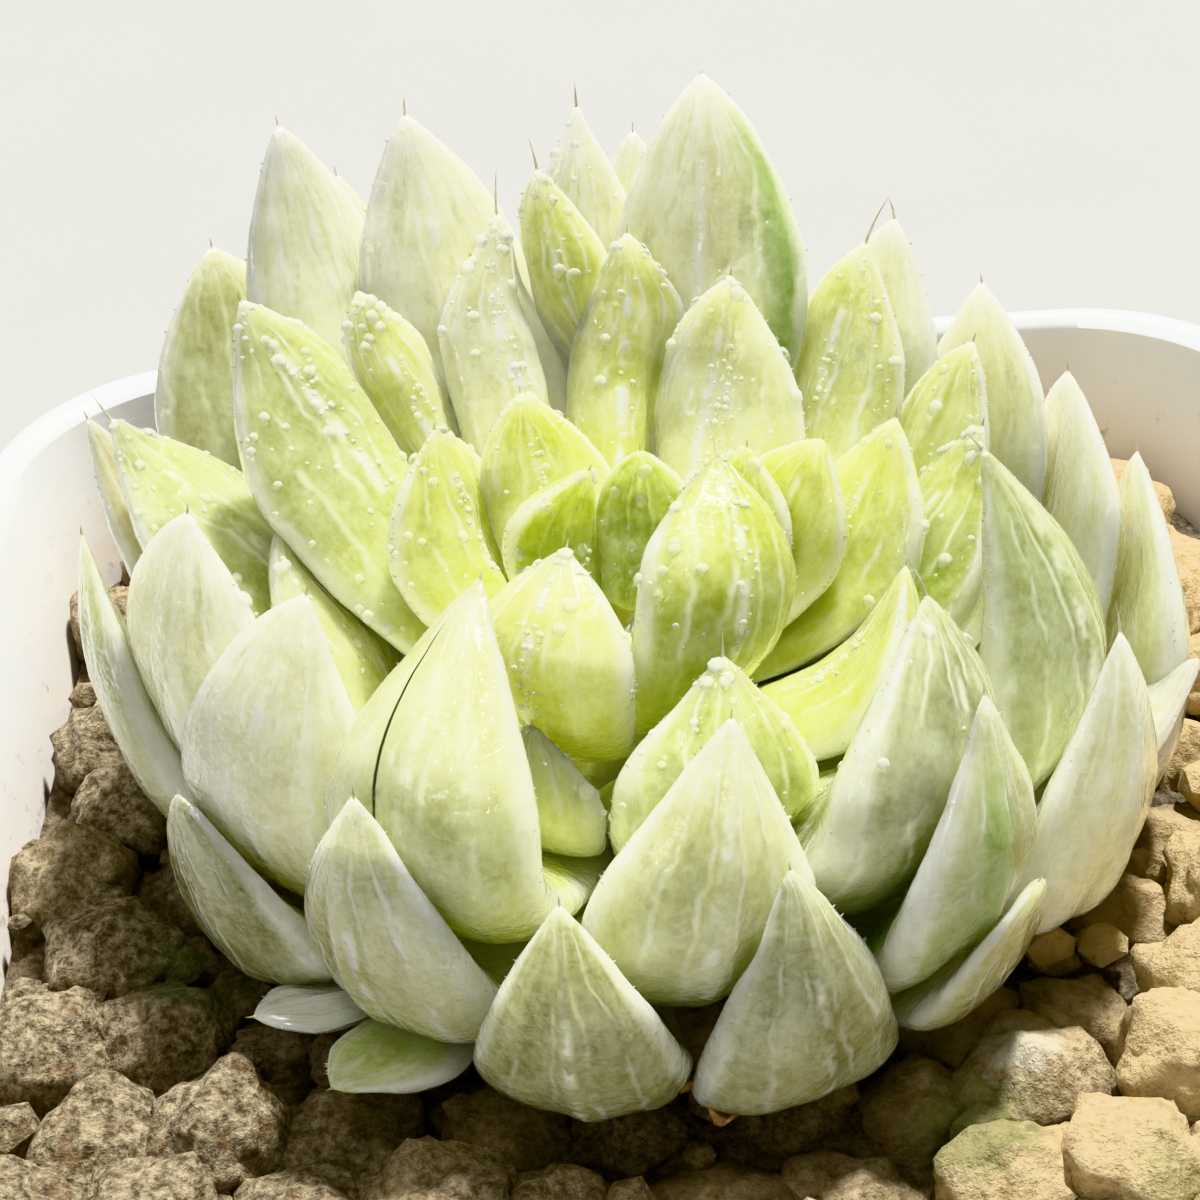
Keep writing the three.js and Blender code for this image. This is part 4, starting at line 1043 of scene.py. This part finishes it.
round_off = pot.modifiers.new("edges", "BEVEL")
round_off.width, round_off.segments, round_off.angle_limit = 0.0004, 3, math.radians(35)
settle(pot)
bpy.data.objects.remove(cutter)
pot.data.polygons.foreach_set("use_smooth", [True] * len(pot.data.polygons))
co, normal = vectors(pot.data, "vertices", "co"), vectors(pot.data, "vertices", "normal")
facing_in = ((normal * co)[:, :2].sum(1) < 0) & (co[:, 2] > 0.003) & (co[:, 2] < 0.0588)
inside_mark = pot.data.attributes.new("inside", "FLOAT", "POINT")
inside_mark.data.foreach_set("value", facing_in.astype(np.float32))
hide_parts("pot")
print("pot faces", len(pot.data.polygons))


# %% Pot material
def pot_material():
    n = Nodes("white_plastic")
    place = n.place()
    split = n.add("SeparateXYZ", {0: place})
    cloud = n.noise(place, 60, 3)
    dust = n.noise(place, 900, 4, 0.7)
    colour = n.mix(n.ramp(cloud, 0.35, 0.65), linear("e9edf3"), linear("f4f5f6"))
    # Painted reflection: low on the inner wall the white turns beige, as if lit by light bounced off the soil; the same
    # mask also puts more real dust specks there.
    low = n.math("MULTIPLY", n.ramp(split.outputs[2], 0.0592, 0.054), n.attribute("inside"))
    colour = n.mix(n.math("MULTIPLY", low, 0.55), colour, linear("dccdbd"))
    specks = n.math("MULTIPLY", n.ramp(dust, 0.6, 0.7), n.math("ADD", n.math("MULTIPLY", low, 0.6), 0.03))
    colour = n.mix(specks, colour, linear("8a7056"))
    n.join("Base Color", colour)
    scuff = n.noise(n.out("Mapping", {"Vector": place, "Scale": (1.0, 1.0, 14.0)}), 350, 3, 0.6)
    n.join("Roughness", n.ramp(scuff, 0.3, 0.7, 0.28, 0.46))
    height = n.math("ADD", n.math("MULTIPLY", scuff, 0.3), n.math("MULTIPLY", dust, 0.5))
    n.join("Normal", n.out("Bump", {"Strength": 0.12, "Distance": 0.0002, "Height": height}))
    n.set(Subsurface_Weight=0.15, Subsurface_Scale=0.001, Subsurface_Radius=(1.0, 0.9, 0.8), IOR=1.5)
    return n.material


pot.data.materials.clear()
pot.data.materials.append(pot_material())

# %% [markdown]
# The stem hardly shows. It is turned like the pot but stays round, with shallow scars where old
# leaves sat.

# %% Stem
heights = np.linspace(-9, STEM_TOP, 30)
profile = [(0, PLANT[2] - 9)]
for z in heights[1:-1]:
    r = min(float(stem_radius(z)), 1.2 + (z + 9) * 0.35)
    profile.append((r - 0.12 * abs(math.sin(z * 2.2)), PLANT[2] + z))
profile.append((0, PLANT[2] + STEM_TOP))
bm = turned(profile, 28)
bmesh.ops.translate(bm, verts=bm.verts, vec=Vector((PLANT[0], PLANT[1], 0)) * MM)
stem = from_bmesh("stem_core", bm)
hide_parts("stem")
stem_look = Nodes("stem")
fibre = stem_look.noise(stem_look.out("Mapping", {"Vector": stem_look.place(), "Scale": (1.0, 1.0, 0.2)}), 1500, 3)
stem_look.join("Base Color", stem_look.mix(stem_look.ramp(fibre, 0.35, 0.65), linear("aab25a"), linear("d8d8a0")))
stem_look.join("Roughness", stem_look.ramp(fibre, 0.3, 0.7, 0.5, 0.8))
stem_look.join("Normal", stem_look.out("Bump", {"Strength": 0.4, "Distance": 0.0002, "Height": fibre}))
stem.data.materials.append(stem_look.material)

# %% [markdown]
# Dry brown scales of old leaves lie under the front of the rosette. Each is a small grid of faces,
# narrowed to its ends, curled by moving its points, and given a thickness with a Solidify modifier.

# %% Dry scales
scales = bmesh.new()
dice = random.Random(3)
for x, y, turn, size in ((-1.2, -14.4, 20, 2.2), (0.9, -14.9, 75, 1.8), (-3.4, -14.2, -30, 1.6), (2.6, -14.3, 140, 1.5)):
    one = bmesh.new()
    bmesh.ops.create_grid(one, x_segments=9, y_segments=5, size=1)
    spin = Matrix.Rotation(math.radians(turn), 3, "Z")
    for v in one.verts:
        a, b = v.co.x, v.co.y * (1 - 0.75 * abs(v.co.x) ** 2.2)
        lift = 0.5 * b * b + 0.28 * a * a + 0.22 * noise.noise(Vector((a * 1.7, b * 2, turn)))
        spot = spin @ Vector((a, 0.45 * b, lift)) * size
        v.co = Vector((spot.x + x, spot.y + y, spot.z + 55.6)) * MM
    gather(scales, one)
dry_scales = from_bmesh("dry_scales", scales)
wall = dry_scales.modifiers.new("wall", "SOLIDIFY")
wall.thickness = 0.00012
scale_look = Nodes("dry_scale")
streak = scale_look.noise(scale_look.out("Mapping", {"Vector": scale_look.place(), "Scale": (1.0, 3.0, 1.0)}), 1400, 3)
scale_look.join("Base Color", scale_look.mix(scale_look.ramp(streak, 0.35, 0.65), linear("6d4a2c"), linear("b89468")))
scale_look.join("Roughness", scale_look.ramp(streak, 0.3, 0.7, 0.6, 0.85))
scale_look.join("Normal", scale_look.out("Bump", {"Strength": 0.5, "Distance": 0.0002, "Height": streak}))
dry_scales.data.materials.append(scale_look.material)

# %% [markdown]
# A plain pale floor and soft studio light. The largest light stands behind and above the plant, a
# little to the right, so that the thick leaves are lit through and their edges shine. The camera
# looks down at the rosette at 37 degrees from close by, slightly rolled, as in the photograph.

# %% Stage
bm = bmesh.new()
bmesh.ops.create_grid(bm, x_segments=2, y_segments=2, size=5)
floor_mesh = bpy.data.meshes.new("floor")
bm.to_mesh(floor_mesh)
bm.free()
floor = bpy.data.objects.new("floor", floor_mesh)
bpy.context.scene.collection.objects.link(floor)
floor_look = Nodes("pale_floor")
floor_look.join("Base Color", floor_look.mix(floor_look.noise(floor_look.place(), 30, 2), (0.33, 0.33, 0.32), (0.37, 0.37, 0.36)))
floor_look.set(Roughness=0.9)
floor_mesh.materials.append(floor_look.material)


def soft_light(name, kind, place, strength, colour, **settings):
    """A lamp at place, pointed at the plant."""
    lamp = bpy.data.lights.new(name, kind)
    lamp.energy, lamp.color = strength, colour
    for key, value in settings.items():
        setattr(lamp, key, value)
    holder = bpy.data.objects.new(name, lamp)
    bpy.context.scene.collection.objects.link(holder)
    way = Vector((0, 0, 0.06)) - Vector(place)
    holder.matrix_world = Matrix.Translation(place) @ way.to_track_quat("-Z", "Y").to_matrix().to_4x4()


soft_light("back_key", "SUN", (0.13, 0.28, 0.56), 8.1, (0.99, 0.985, 0.93), angle=math.radians(5.6))
soft_light("top_soft", "AREA", (-0.1, -0.02, 0.62), 0.9, (1.0, 0.99, 0.97), shape="DISK", size=0.12)
soft_light("front_fill", "AREA", (-0.3, -0.35, 0.5), 0.45, (0.95, 0.98, 1.0), shape="DISK", size=0.1)
world = bpy.data.worlds.new("room")
world.use_nodes = True
world.node_tree.nodes["Background"].inputs[0].default_value = (0.9, 0.95, 1.0, 1.0)
world.node_tree.nodes["Background"].inputs[1].default_value = 0.125
bpy.context.scene.world = world
bpy.context.scene.view_settings.view_transform = "Khronos PBR Neutral"

lens = bpy.data.cameras.new("close_up")
lens.lens, lens.sensor_width, lens.clip_start = 66.0, 36.0, 0.005
camera = bpy.data.objects.new("close_up", lens)
bpy.context.scene.collection.objects.link(camera)
tilt, roll = math.radians(37.0), math.radians(-3.6)
ahead = Vector((0, math.cos(tilt), -math.sin(tilt)))
up = Vector((0, math.sin(tilt), math.cos(tilt)))
right = Vector((1, 0, 0))
level = Matrix((right, up, -ahead)).transposed()
camera.matrix_world = (Matrix.Translation((-0.0027, -0.06747, 0.11777))
                       @ level.to_4x4() @ Matrix.Rotation(roll, 4, "Z"))
bpy.context.scene.camera = camera
